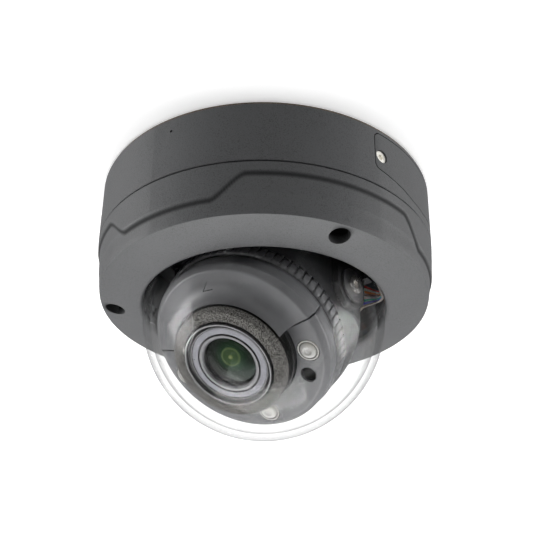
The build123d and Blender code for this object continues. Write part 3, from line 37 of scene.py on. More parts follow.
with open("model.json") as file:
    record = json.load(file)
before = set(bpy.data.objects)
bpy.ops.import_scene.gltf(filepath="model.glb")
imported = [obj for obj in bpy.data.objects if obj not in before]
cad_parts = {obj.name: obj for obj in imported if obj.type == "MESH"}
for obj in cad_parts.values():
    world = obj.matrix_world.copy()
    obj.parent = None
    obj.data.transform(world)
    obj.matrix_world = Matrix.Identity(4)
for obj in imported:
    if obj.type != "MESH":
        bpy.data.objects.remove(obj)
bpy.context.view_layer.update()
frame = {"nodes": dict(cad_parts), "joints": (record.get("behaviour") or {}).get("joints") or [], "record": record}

MM = 0.001
TURN = 2 * math.pi
JOINTS = {joint["name"]: joint for joint in frame["joints"]}
SLOTS = {part["node"]: part["material_slot"] for part in frame["record"]["subparts"]}
BODY_OF = {node: body for body, nodes in frame["record"]["behaviour"]["bodies"].items() for node in nodes}

# The lens module's own frame: X along the tilt axis before the roll, Z out along the lens.
BALL_CENTRE = Vector(JOINTS["roll"]["pos_m"])
LENS_AXIS = Vector(JOINTS["roll"]["axis"])
TILT_AXIS = Vector(JOINTS["tilt"]["axis"])
ROLL_REST = math.radians(-6.2)
BALL_TURN = Matrix((TILT_AXIS, LENS_AXIS.cross(TILT_AXIS), LENS_AXIS)).transposed()
MODULE = Matrix.Translation(BALL_CENTRE) @ BALL_TURN.to_4x4() @ Matrix.Rotation(ROLL_REST, 4, "Z")
TO_MODULE = MODULE.inverted()
UPRIGHT = Matrix.Identity(4)

# Number stored on a mesh's points for the materials: how much painted shade darkens each, from 0 to 1
PAINTED_SHADE = "painted_shade"

# How near points are welded: those of a spun mesh, and those of a CAD mesh's loose triangles
SPIN_WELD = 0.0001 * MM
CAD_WELD = 0.001 * MM

# Edges are sharp where the faces turn by more than this, with a finer angle for turned rings
SHARP = math.radians(32)
RING_SHARP = math.radians(25)


# --- Mesh helpers ---

def reach(node, place=UPRIGHT):
    """Smallest and largest radius, then height, of a CAD node about the Z axis of a place."""
    back = place.inverted()
    points = [back @ vertex.co for vertex in frame["nodes"][node].data.vertices]
    radii = [math.hypot(point.x, point.y) for point in points]
    heights = [point.z for point in points]
    return min(radii), max(radii), min(heights), max(heights)


def rounded(corners, segments=5):
    """Outline through (radius, height, rounding) corners, each rounding drawn as an arc."""
    points = [Vector(corner[:2]) for corner in corners]
    outline = []
    for index, corner in enumerate(points):
        rounding = corners[index][2]
        if not rounding:
            outline.append(corner)
            continue
        before = (points[index - 1] - corner).normalized()
        after = (points[(index + 1) % len(points)] - corner).normalized()
        half = before.angle(after) / 2
        centre = corner + (before + after).normalized() * rounding / math.sin(half)
        run = rounding / math.tan(half)
        first = (corner + before * run - centre).normalized()
        last = (corner + after * run - centre).normalized()
        outline += [centre + first.slerp(last, step / segments) * rounding for step in range(segments + 1)]
    return outline


def turned(outline, steps, closed=True, start=0.0, sweep=TURN):
    """Mesh spun about Z from an outline of (radius, height) points, closed or with both ends on the axis."""
    mesh = bmesh.new()
    row = [mesh.verts.new((radius, 0, height)) for radius, height in outline]
    pairs = list(zip(row, row[1:])) + ([(row[-1], row[0])] if closed else [])
    edges = [mesh.edges.new(pair) for pair in pairs]
    bmesh.ops.rotate(mesh, verts=row, matrix=Matrix.Rotation(start, 3, "Z"))
    full = math.isclose(sweep, TURN)
    spun = bmesh.ops.spin(mesh, geom=row + edges, axis=(0, 0, 1), angle=sweep, steps=steps,
                          use_merge=full)
    if not full:
        last = [item for item in spun["geom_last"] if isinstance(item, bmesh.types.BMEdge)]
        bmesh.ops.holes_fill(mesh, edges=edges)
        bmesh.ops.holes_fill(mesh, edges=last)
    bmesh.ops.remove_doubles(mesh, verts=mesh.verts, dist=SPIN_WELD)
    bmesh.ops.recalc_face_normals(mesh, faces=mesh.faces)
    return mesh


def rod(radius, low, high, place=UPRIGHT, sides=48):
    """Solid cylinder along the Z axis of a place."""
    mesh = bmesh.new()
    lift = place @ Matrix.Translation((0, 0, (low + high) / 2))
    bmesh.ops.create_cone(mesh, cap_ends=True, segments=sides, radius1=radius, radius2=radius,
                          depth=high - low, matrix=lift)
    return mesh


def slab(size, place):
    """Solid box of a size at a place."""
    mesh = bmesh.new()
    bmesh.ops.create_cube(mesh, size=1, matrix=place @ Matrix.Diagonal((*size, 1)))
    return mesh


def cad_mesh(node):
    """Copy of a CAD node's mesh, with its loose triangles welded."""
    mesh = bmesh.new()
    mesh.from_mesh(frame["nodes"][node].data)
    bmesh.ops.remove_doubles(mesh, verts=mesh.verts, dist=CAD_WELD)
    return mesh


def made(name, mesh, sharp=SHARP):
    """Object made from a mesh, with its edges sharp where the faces turn by more than an angle."""
    data = bpy.data.meshes.new(name)
    mesh.to_mesh(data)
    mesh.free()
    data.shade_smooth()
    data.set_sharp_from_angle(angle=sharp)
    piece = bpy.data.objects.new(name, data)
    bpy.context.scene.collection.objects.link(piece)
    return piece


def joined(meshes):
    """One mesh from several."""
    whole = bmesh.new()
    for mesh in meshes:
        part = bpy.data.meshes.new("part")
        mesh.to_mesh(part)
        mesh.free()
        whole.from_mesh(part)
        bpy.data.meshes.remove(part)
    return whole


def carved(piece, mesh, operation="DIFFERENCE", sharp=SHARP):
    """Cut a mesh out of a piece, or add it to the piece."""
    tool = made("tool", mesh)
    modifier = piece.modifiers.new("carve", "BOOLEAN")
    modifier.operation = operation
    modifier.solver = "EXACT"
    modifier.object = tool
    evaluated = piece.evaluated_get(bpy.context.evaluated_depsgraph_get())
    data = bpy.data.meshes.new_from_object(evaluated)
    piece.modifiers.clear()
    piece.data = data
    bpy.data.objects.remove(tool)
    data.shade_smooth()
    data.set_sharp_from_angle(angle=sharp)


def moved(mesh, place):
    """A mesh put at a place."""
    bmesh.ops.transform(mesh, matrix=place, verts=mesh.verts)
    return mesh


def store_painted_shade(piece, share):
    """Store on each point how much painted shade darkens it, from 0 to 1."""
    values = piece.data.attributes.new(PAINTED_SHADE, "FLOAT", "POINT")
    for vertex, value in zip(piece.data.vertices, values.data):
        value.value = share(vertex.co)


def at_azimuth(azimuth, radius):
    """Upright place at a radius and an azimuth in degrees, measured from -Y towards +X."""
    angle = math.radians(azimuth)
    return Matrix.Translation((radius * math.sin(angle), -radius * math.cos(angle), 0))


def azimuth_of(point):
    """Azimuth of a point in degrees, measured from -Y towards +X."""
    return math.degrees(math.atan2(point.x, -point.y))


def in_module(angle, radius, height=0.0):
    """Place at an angle in degrees, radius and height of the lens module, X pointing outwards."""
    return MODULE @ Matrix.Rotation(math.radians(angle), 4, "Z") @ Matrix.Translation((radius, 0, height))


# --- Material helpers ---

class Nodes:
    """A node tree in the making."""

    def __init__(self, tree, output):
        self.tree = tree
        self.output = tree.nodes[output]

    def add(self, kind, sockets=(), **settings):
        """Node of a kind, with its settings and its sockets' values or links."""
        node = self.tree.nodes.new(kind)
        for name, value in settings.items():
            setattr(node, name, value)
        for name, value in dict(sockets).items():
            self.feed(node.inputs[name], value)
        return node

    def feed(self, socket, value):
        """Link an output to a socket, or set the socket's value."""
        if isinstance(value, bpy.types.NodeSocket):
            self.tree.links.new(value, socket)
        else:
            socket.default_value = value

    def number(self, operation, *values):
        """Result of an operation on numbers, each an output or a value."""
        return self.add("ShaderNodeMath", dict(enumerate(values)), operation=operation).outputs[0]

    def rays(self, first, *others):
        """1 for rays of the named kinds, and 0 for all others."""
        path = self.add("ShaderNodeLightPath").outputs
        share = path["Is %s Ray" % first]
        for kind in others:
            share = self.number("MAXIMUM", share, path["Is %s Ray" % kind])
        return share

    def emission(self, strength, colour=(1, 1, 1, 1)):
        """Shader that glows."""
        return self.add("ShaderNodeEmission", {"Color": colour, "Strength": strength}).outputs[0]

    def clear(self):
        """Shader that lets light straight through."""
        return self.add("ShaderNodeBsdfTransparent").outputs[0]

    def mix(self, share, first, second):
        """Shader between two shaders."""
        return self.add("ShaderNodeMixShader", {"Fac": share, 1: first, 2: second}).outputs[0]

    def show(self, shader):
        """Let a shader be what is seen."""
        self.feed(self.output.inputs["Surface"], shader)


class Finish(Nodes):
    """A node material in the making, whose patterns read Object coordinates."""

    def __init__(self, name):
        self.material = bpy.data.materials.new(name)
        self.material.use_nodes = True
        super().__init__(self.material.node_tree, "Material Output")
        self.shader = self.tree.nodes["Principled BSDF"]
        self.coords = self.add("ShaderNodeTexCoord").outputs["Object"]

    def put(self, **values):
        """Set the shader's sockets, named in words joined by underscores."""
        for name, value in values.items():
            self.feed(self.shader.inputs[name.replace("_", " ")], value)
        return self

    def turn_to(self, place):
        """Lay the patterns out in the frame of a place."""
        sockets = {"Vector": self.coords, "Location": place.to_translation(), "Rotation": place.to_euler()}
        self.coords = self.add("ShaderNodeMapping", sockets, vector_type="TEXTURE").outputs["Vector"]
        return self

    def scaled(self, factors):
        """The patterns' coordinates times three factors."""
        return self.add("ShaderNodeVectorMath", {0: self.coords, 1: factors}, operation="MULTIPLY").outputs[0]

    def noise(self, size, detail=2.0, stretch=None):
        """Noise with lumps of a size, drawn out where a factor of the stretch is small."""
        vector = self.scaled(stretch) if stretch else self.coords
        node = self.add("ShaderNodeTexNoise", {"Vector": vector, "Scale": 1 / size, "Detail": detail})
        return node.outputs["Fac"]

    def cells(self, size, distance="EUCLIDEAN"):
        """Cell pattern with cells of a size."""
        sockets = {"Vector": self.coords, "Scale": 1 / size}
        return self.add("ShaderNodeTexVoronoi", sockets, distance=distance).outputs["Distance"]

    def between(self, factor, low, high, start=0.3, end=0.7):
        """Number that goes from low to high as the factor rises from start to end."""
        sockets = {"Value": factor, "From Min": start, "From Max": end, "To Min": low, "To Max": high}
        return self.add("ShaderNodeMapRange", sockets).outputs["Result"]

    def by_stops(self, factor, stops, interpolation="LINEAR"):
        """Colour by stops, each a place on the factor's way from 0 to 1 and a colour."""
        node = self.add("ShaderNodeValToRGB", {"Fac": factor})
        node.color_ramp.interpolation = interpolation
        marks = node.color_ramp.elements
        for _ in stops[2:]:
            marks.new(0.5)
        for mark, (place, colour) in zip(marks, stops):
            mark.position = place
            mark.color = (*colour, 1)
        return node.outputs["Color"]

    def ramp(self, factor, dark, light, low=0.3, high=0.7):
        """Colour that goes from dark to light as the factor rises from low to high."""
        return self.by_stops(factor, ((low, dark), (high, light)))

    def rings(self, centre, limit, stops, interpolation):
        """Colour in rings round a point, each stop a distance in millimetres, up to a limit, and a colour."""
        sockets = {0: self.scaled((1 / MM, 1 / MM, 0)), 1: centre}
        away = self.add("ShaderNodeVectorMath", sockets, operation="DISTANCE").outputs["Value"]
        share = self.between(away, 0.0, 1.0, 0.0, limit)
        return self.by_stops(share, [(start / limit, colour) for start, colour in stops], interpolation)

    def blend(self, factor, first, second, how="MIX"):
        """Colour between two colours, each an output or three numbers."""
        node = self.add("ShaderNodeMix", {"Factor": factor}, data_type="RGBA", blend_type=how)
        for socket, colour in ((node.inputs[6], first), (node.inputs[7], second)):
            self.feed(socket, colour if isinstance(colour, bpy.types.NodeSocket) else (*colour, 1))
        return node.outputs[2]

    def painted_shade(self):
        """How much painted shade the mesh stores for a point, 0 where it stores nothing."""
        return self.add("ShaderNodeAttribute", attribute_name=PAINTED_SHADE).outputs["Fac"]

    def bump(self, height, depth, over=None):
        """Surface relief of a depth, over another one if given."""
        sockets = {"Height": height, "Distance": depth, "Strength": 1.0}
        if over:
            sockets["Normal"] = over
        return self.add("ShaderNodeBump", sockets).outputs["Normal"]


def shade(colour, factor):
    """Colour made darker or lighter by a factor."""
    return tuple(min(channel * factor, 1.0) for channel in colour)


def plain(name, colour, mottle=0.12, grain=0.5 * MM, relief=0.02 * MM, rough=(0.4, 0.55), **values):
    """Moulded or painted finish with a fine grain, slight mottling, and painted shade where the mesh stores it."""
    finish = Finish(name)
    fine = finish.noise(grain, 3)
    broad = finish.noise(grain * 14)
    tone = finish.number("ADD", fine, broad)
    paint = finish.ramp(tone, shade(colour, 1 - mottle), shade(colour, 1 + mottle), 0.75, 1.25)
    finish.put(Base_Color=finish.blend(finish.painted_shade(), paint, shade(colour, 0.1)),
               Roughness=finish.between(broad, *rough), Normal=finish.bump(fine, relief), **values)
    return finish.material


def powder_coat(name, colour):
    """Fine-textured powder coat over cast metal, with painted shade, more roughness and less sheen where the mesh
    stores painted shade.
    """
    finish = Finish(name)
    grit = finish.noise(0.36 * MM, 2)
    peel = finish.noise(1.2 * MM, 2)
    cloud = finish.between(finish.noise(18 * MM), 0.45, 0.55)
    tone = finish.number("ADD", grit, cloud)
    paint = finish.ramp(tone, shade(colour, 0.72), shade(colour, 1.32), 0.8, 1.2)
    painted_shade = finish.painted_shade()
    finish.put(Base_Color=finish.blend(painted_shade, paint, shade(colour, 0.12)),
               Roughness=finish.between(painted_shade, 0.5, 0.85, 0.0, 1.0),
               Specular_IOR_Level=finish.between(painted_shade, 0.45, 0.05, 0.0, 1.0),
               Normal=finish.bump(grit, 0.07 * MM, over=finish.bump(peel, 0.05 * MM)))
    return finish.material


def turned_metal(name, colour, place=UPRIGHT, rough=(0.22, 0.4)):
    """Machined metal with fine turning lines about the Z axis of a place."""
    finish = Finish(name).turn_to(place)
    sockets = {"Vector": finish.coords, "Scale": 1 / (0.25 * MM), "Distortion": 1.5, "Detail": 2.0}
    waves = finish.add("ShaderNodeTexWave", sockets, wave_type="RINGS", rings_direction="Z").outputs["Fac"]
    smear = finish.noise(1.2 * MM, 3)
    finish.put(Base_Color=finish.ramp(smear, shade(colour, 0.85), shade(colour, 1.12)), Metallic=1.0,
               Roughness=finish.between(smear, *rough), Normal=finish.bump(waves, 0.004 * MM))
    return finish.material


def sheet_metal(name, colour):
    """Rolled sheet with drawn-out scratches."""
    finish = Finish(name)
    scratch = finish.noise(0.4 * MM, 3, stretch=(1, 0.04, 1))
    finish.put(Base_Color=finish.ramp(scratch, shade(colour, 0.85), shade(colour, 1.1)), Metallic=1.0,
               Roughness=finish.between(scratch, 0.3, 0.5), Normal=finish.bump(scratch, 0.006 * MM))
    return finish.material


def circuit_board(name, colour, copper):
    """Solder mask with copper runs under it and small bright pads."""
    finish = Finish(name)
    runs = finish.cells(1.6 * MM, distance="CHEBYCHEV")
    pads = finish.cells(2.3 * MM)
    mask = finish.ramp(runs, copper, colour, 0.34, 0.38)
    pad = finish.between(pads, 1.0, 0.0, 0.13, 0.16)
    finish.put(Base_Color=finish.blend(pad, mask, PAD_TIN),
               Roughness=finish.between(runs, 0.25, 0.42), Normal=finish.bump(runs, 0.03 * MM))
    return finish.material


def open_foam(name, dark, light, cell=0.55 * MM):
    """Open-cell foam, pale on the cell walls and dark in the cells, with painted shade where the mesh stores it.
    """
    finish = Finish(name)
    pores = finish.cells(cell)
    speck = finish.noise(cell * 0.7, 3)
    tone = finish.number("SUBTRACT", speck, finish.between(pores, -0.12, 0.12, 0.1, 0.7))
    paint = finish.ramp(tone, dark, light, 0.3, 0.68)
    finish.put(Base_Color=finish.blend(finish.painted_shade(), paint, shade(dark, 0.1)), Roughness=0.95,
               Specular_IOR_Level=0.15, Normal=finish.bump(tone, 0.22 * MM))
    return finish.material


def see_through(finish, body=1.0, edge=1.0):
    """Clear material that lets lamp light through; its glass shows by one share face on, another edge on."""
    seen = finish.number("SUBTRACT", 1.0, finish.rays("Shadow", "Diffuse"))
    facing = finish.add("ShaderNodeLayerWeight", {"Blend": 0.5}).outputs["Facing"]
    glass = finish.number("MULTIPLY", seen, finish.between(facing, body, edge, *EDGE_ON))
    finish.show(finish.mix(glass, finish.clear(), finish.shader.outputs[0]))
    return finish.material


def clear_plastic(name):
    """Clear moulded polycarbonate with the faintest waviness, seen mostly by its edge."""
    finish = Finish(name)
    wave = finish.noise(9 * MM, 1)
    finish.put(Base_Color=finish.ramp(wave, (0.97, 0.98, 0.98), (1, 1, 1)), IOR=1.58, Transmission_Weight=1.0,
               Roughness=finish.between(wave, 0.07, 0.1), Normal=finish.bump(wave, 0.002 * MM))
    return see_through(finish, 0.03, 0.6)


def coated_glass(name, tint):
    """Optical glass with the coloured glint of its coating."""
    finish = Finish(name)
    film = finish.noise(6 * MM, 1)
    finish.put(Base_Color=finish.ramp(film, shade(tint, 0.9), tint), Transmission_Weight=1.0, IOR=1.52,
               Roughness=finish.between(film, 0.0, 0.02), Specular_Tint=(0.2, 0.3, 0.22, 1),
               Thin_Film_Thickness=430.0, Thin_Film_IOR=1.38)
    return see_through(finish)


def ball_plastic(name):
    """Fine-spark plastic of the ball."""
    colour = tuple(bpy.context.scene.dome_camera_ball.plastic_colour)
    return plain(name, colour, mottle=0.08, grain=0.28 * MM, relief=0.012 * MM, rough=(0.36, 0.46),
                 Specular_IOR_Level=0.5)


def lens_ring(name, bands):
    """Fine-turned anodising whose colour changes with the radius, as the steps of the lens front do; its light
    bands are painted highlights on the steps' edges.
    """
    finish = Finish(name).turn_to(MODULE)
    smear = finish.noise(1.4 * MM, 3)
    lines = finish.noise(0.5 * MM)
    colour = finish.rings((0, 0, 0), BANDS_REACH, bands, "CONSTANT")
    worn = finish.blend(finish.between(smear, 0.0, 0.3), colour, (0.6, 0.6, 0.6), "MULTIPLY")
    finish.put(Base_Color=worn, Metallic=0.1, Roughness=finish.between(smear, 0.38, 0.5),
               Normal=finish.bump(lines, 0.004 * MM))
    return finish.material


def front_glass(name):
    """Front glass with a painted reflection in its colour: the green glint of the coated groups behind it."""
    finish = Finish(name).turn_to(MODULE)
    film = finish.noise(5 * MM, 1)
    finish.put(Base_Color=finish.rings(PAINTED_REFLECTION_CENTRE, PAINTED_REFLECTION_REACH, PAINTED_REFLECTION, "LINEAR"), Transmission_Weight=0.1,
               Roughness=finish.between(film, 0.02, 0.05), IOR=1.5, Specular_Tint=(0.06, 0.12, 0.08, 1))
    return finish.material


# --- Finishes ---

PAD_TIN = (0.75, 0.62, 0.3)
# How far a clear surface faces away where its edge starts to show, and where it shows in full
EDGE_ON = (0.55, 0.97)
# Anodised rings with painted highlights on their edges, and the painted reflection in the front glass: distance
# from the middle in millimetres, then the colour
DARK = (0.012, 0.012, 0.013)
GREY = (0.12, 0.12, 0.13)
# Painted highlight on the edges of the lens front's steps
PAINTED_HIGHLIGHT = (0.2, 0.2, 0.207)
VIOLET_GREY = (0.2, 0.2, 0.225)
NAME_RING_BANDS = ((0, DARK), (9.5, GREY), (10.0, PAINTED_HIGHLIGHT), (10.75, DARK), (11.35, VIOLET_GREY), (13.45, DARK),
                   (13.65, PAINTED_HIGHLIGHT))
BARREL_BANDS = ((0, DARK), (14.0, DARK), (15.08, PAINTED_HIGHLIGHT), (15.6, shade(DARK, 2)))
BANDS_REACH = 20.0
PAINTED_REFLECTION_REACH = 10.0
PAINTED_REFLECTION_CENTRE = (1.7, 2.2, 0.0)
PAINTED_REFLECTION = ((0, (0.2, 0.22, 0.09)), (0.5, (0.12, 0.15, 0.055)), (1.0, (0.035, 0.06, 0.025)),
        (2.6, (0.03, 0.05, 0.022)), (3.1, (0.08, 0.11, 0.045)), (3.6, (0.012, 0.028, 0.014)),
        (6.0, (0.006, 0.009, 0.006)), (10.0, (0.005, 0.005, 0.005)))

SLOT_FINISHES = {
    "black_powder_coat": lambda: powder_coat("charcoal_coat", (0.047, 0.048, 0.05)),
    "service_coat": lambda: powder_coat("service_coat", (0.042, 0.043, 0.045)),
    "gasket_foam": lambda: open_foam("gasket_foam", (0.06, 0.05, 0.04), (0.17, 0.14, 0.11), 0.4 * MM),
    "black_rubber": lambda: plain("black_rubber", (0.02, 0.02, 0.021), rough=(0.6, 0.8)),
    "steel": lambda: turned_metal("zinc_steel", (0.55, 0.55, 0.53)),
    "bright_steel": lambda: turned_metal("bright_steel", (0.72, 0.7, 0.67), rough=(0.14, 0.28)),
    "board_green": lambda: circuit_board("board_green", (0.01, 0.07, 0.025), (0.03, 0.16, 0.06)),
    "board_black": lambda: circuit_board("board_black", (0.012, 0.012, 0.013), (0.03, 0.03, 0.03)),
    "chip_black": lambda: plain("chip_black", (0.02, 0.02, 0.022), grain=0.2 * MM),
    "connector_white": lambda: plain("connector_nylon", (0.62, 0.6, 0.54), mottle=0.06),
    "card_black": lambda: plain("card_plastic", (0.015, 0.015, 0.017), rough=(0.3, 0.4)),
    "socket_steel": lambda: sheet_metal("socket_steel", (0.6, 0.6, 0.58)),
    "thermal_grey": lambda: plain("thermal_pad", (0.28, 0.3, 0.33), grain=1.2 * MM, rough=(0.7, 0.85)),
    "button_red": lambda: plain("button_red", (0.42, 0.03, 0.02), grain=0.3 * MM),
    "black_plastic": lambda: plain("black_plastic", (0.018, 0.018, 0.019), rough=(0.32, 0.46)),
    "ball_plastic": lambda: ball_plastic("ball_plastic"),
    "foam": lambda: open_foam("collar_foam", (0.02, 0.019, 0.018), (0.2, 0.194, 0.182)),
    "clear_dome": lambda: clear_plastic("clear_dome"),
    # Lamp lens: its pale colour is partly frosting and partly a painted reflection of the lamp's reflector
    "clear_lens": lambda: plain("lamp_lens", (0.6, 0.595, 0.57), mottle=0.1, rough=(0.1, 0.2),
                                Transmission_Weight=0.3, IOR=1.45),
    "lens_glass": lambda: coated_glass("lens_glass", (0.86, 0.96, 0.88)),
    "sensor_dark": lambda: plain("sensor_window", (0.002, 0.002, 0.002), rough=(0.6, 0.75),
                                 Specular_IOR_Level=0.02),
    "name_ring": lambda: lens_ring("name_ring", NAME_RING_BANDS),
    "lens_black": lambda: lens_ring("lens_black", BARREL_BANDS),
    "led_yellow": lambda: plain("lamp_phosphor", (0.75, 0.6, 0.25), grain=0.3 * MM, rough=(0.5, 0.7)),
    "motor_metal": lambda: turned_metal("motor_can", (0.5, 0.5, 0.5), MODULE),
    "gear_plastic": lambda: plain("gear_acetal", (0.7, 0.69, 0.65), mottle=0.05, rough=(0.35, 0.5)),
    "sheet_steel": lambda: sheet_metal("chassis_steel", (0.5, 0.51, 0.52)),
}

# CAD nodes whose finish differs from that of their slot
NODE_FINISHES = {
    "service_cover_screws": lambda: plain("bright_screws", (0.82, 0.8, 0.74), mottle=0.08, rough=(0.3, 0.42),
                                          Metallic=0.5),
    "harness_plugs": lambda: plain("plug_nylon", (0.02, 0.02, 0.021), mottle=0.1, rough=(0.7, 0.85),
                                   Specular_IOR_Level=0.15),
    "front_lens": lambda: front_glass("front_glass"),
    "rear_shell": lambda: plain("rear_shell_gloss", (0.05, 0.051, 0.053), grain=0.8 * MM, relief=0.004 * MM,
                                rough=(0.16, 0.24)),
    "pan_bracket": lambda: plain("bracket_gloss", (0.012, 0.012, 0.013), grain=0.8 * MM, relief=0.006 * MM,
                                 rough=(0.14, 0.24)),
}
MADE_FINISHES = {}


def node_finish(node):
    """The material of a CAD node, made once for the node or for its slot."""
    name, finishes = (node, NODE_FINISHES) if node in NODE_FINISHES else (SLOTS[node], SLOT_FINISHES)
    if name not in MADE_FINISHES:
        MADE_FINISHES[name] = finishes[name]()
    return MADE_FINISHES[name]


def paint_nodes(*nodes):
    """Give CAD nodes their materials and leave their shapes alone."""
    for node in nodes:
        materials = frame["nodes"][node].data.materials
        for index in range(len(materials)):
            materials[index] = node_finish(node)
        if not materials:
            materials.append(node_finish(node))


def dress(piece, node, material=None):
    """Let a new piece stand for a CAD node, with its body and its material or another."""
    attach(piece, BODY_OF[node])
    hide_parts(node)
    piece.data.materials.append(material or node_finish(node))


# --- Settings ---

class HousingSettings(bpy.types.PropertyGroup):
    """Sizes of the lower cover"""
    edge_depth: FloatProperty(name="Edge depth", description="Ceiling face to the wall's crisp lower edge",
                              default=43.5 * MM, unit="LENGTH")
    edge_inset: FloatProperty(name="Edge inset", description="How far the lower edge stands in from the wall",
                              default=2.2 * MM, unit="LENGTH")
    step_set: FloatProperty(name="Step", description="How far the wall is set back under the zig-zag line",
                            default=0.6 * MM, unit="LENGTH")
    step_band: FloatProperty(name="Step width", description="Width of the soft band along the zig-zag line",
                             default=3.0 * MM, unit="LENGTH")
    step_high: FloatProperty(name="High line", description="Depth of the zig-zag line's high stretches",
                             default=28.9 * MM, unit="LENGTH")
    step_low: FloatProperty(name="Low line", description="Depth of the zig-zag line's low stretches",
                            default=37.6 * MM, unit="LENGTH")
    # Painted shade in the soft band along the zig-zag line
    band_shade: FloatProperty(name="Band shade", description="How much darker the paint is in the band",
                              default=0.8, subtype="FACTOR")
    rim_rounding: FloatProperty(name="Rim rounding", description="Rounding of the opening round the dome",
                                default=1.5 * MM, unit="LENGTH")


class DomeSettings(bpy.types.PropertyGroup):
    """Fineness of the clear dome"""
    steps: IntProperty(name="Steps", description="Faces round the clear dome", default=192)
    rings: IntProperty(name="Rings", description="Faces from the dome's rim to its pole", default=48)


class BallSettings(bpy.types.PropertyGroup):
    """Sizes and colour of the ball's front"""
    plastic_colour: FloatVectorProperty(name="Plastic", description="Colour of the ball's plastic",
                                        default=(0.085, 0.086, 0.09), subtype="COLOR")
    bevel_rounding: FloatProperty(name="Face rounding", description="Rounding of the front face's outer edge",
                                  default=1.3 * MM, unit="LENGTH")
    hood_half: FloatProperty(name="Hood", description="Half of the hood's arc",
                             default=math.radians(78.4), unit="ROTATION")
    notch_turn: FloatProperty(name="Notch", description="Place of the key notch of the ring round the glass",
                              default=math.radians(160), unit="ROTATION")
    foam_relief: FloatProperty(name="Foam relief", description="How uneven the foam's surface is",
                               default=0.16 * MM, unit="LENGTH")


class StageSettings(bpy.types.PropertyGroup):
    """Camera and lamps"""
    lens: FloatProperty(name="Lens", description="Focal length of the camera", default=73.03, unit="CAMERA")
    distance: FloatProperty(name="Distance", description="Camera to the point it looks at",
                            default=397.56 * MM, unit="LENGTH")
    below: FloatProperty(name="Below", description="How far the camera looks up",
                         default=math.radians(31.015), unit="ROTATION")
    lean: FloatProperty(name="Lean", description="Camera's turn about its line of sight",
                        default=math.radians(-1.003), unit="ROTATION")
    side_power: FloatProperty(name="Side lamps", description="Power of each side lamp",
                              default=9.0, unit="POWER")
    low_power: FloatProperty(name="Lower lamp", description="Power of the lamp under the camera",
                             default=14.5, unit="POWER")
    front_power: FloatProperty(name="Front lamp", description="Power of the lamp in front of the wall",
                               default=3.0, unit="POWER")


SETTINGS = {"dome_camera_housing": HousingSettings, "dome_camera_dome": DomeSettings,
            "dome_camera_ball": BallSettings, "dome_camera_stage": StageSettings}


# --- Housing ---

# Zig-zag step: azimuths in degrees between which its line runs low, degrees that each slope takes, the faint
# groove along the line, and how soon the step fades out towards the wall's lower edge
LOW_STRETCHES = ((-51.5, -17.0), (61.0, 103.0), (165.0, 205.0))
STEP_SLOPE = 10.5
STEP_GROOVE = 0.15 * MM
STEP_FADE = 1.1

# Lower cover: its wall leans in by a draft down to a bend, then more to its edge, and a lip fits the base
COVER_STEPS = 480
WALL_LEVELS = 56
WALL_BEND = -36.0 * MM
WALL_DRAFT = 0.6 * MM
WALL_THICK = 4.2 * MM
LIP_THICK = 1.6 * MM
LIP_HEIGHT = 3.0 * MM
LIP_SLACK = 0.3 * MM

# What keeps its place when the wall is set back: a strip above the lower edge, and all that lies further in
EDGE_MARGIN = 0.35 * MM
INNER_MARGIN = 0.2 * MM

# Screw wells in the rim, each in a column inside the cover
WELL_AZIMUTHS = (26.4, 146.4, 266.4)
WELL_RADIUS = 3.6 * MM
WELL_INSET = 7.1 * MM
WELL_WALL = 1.8 * MM
WELL_RISE = 12.0 * MM
SCREW_HOLE = 2.1 * MM

# Clear dome, with its flange and the slack in the opening round it
DOME_INNER = 40.5 * MM
DOME_OUTER = 43.1 * MM
DOME_FLANGE = 2.4 * MM
DOME_SLACK = 0.2 * MM


def smooth(share):
    """Share from 0 to 1, eased at both ends."""
    share = min(max(share, 0.0), 1.0)
    return share * share * (3 - 2 * share)


def halfway(share):
    """1 where a share is halfway, 0 at both its ends."""
    return 4 * share * (1 - share)


def step_line(azimuth, high, low):
    """Depth of the zig-zag line at an azimuth in degrees."""
    share = 0.0
    for start, end in LOW_STRETCHES:
        away = abs((azimuth - (start + end) / 2 + 180) % 360 - 180) - (end - start) / 2
        share = max(share, 1 - away / STEP_SLOPE)
    share = min(share, 1.0)
    return high + (low - high) * (share + smooth(share)) / 2 if share > 0 else high


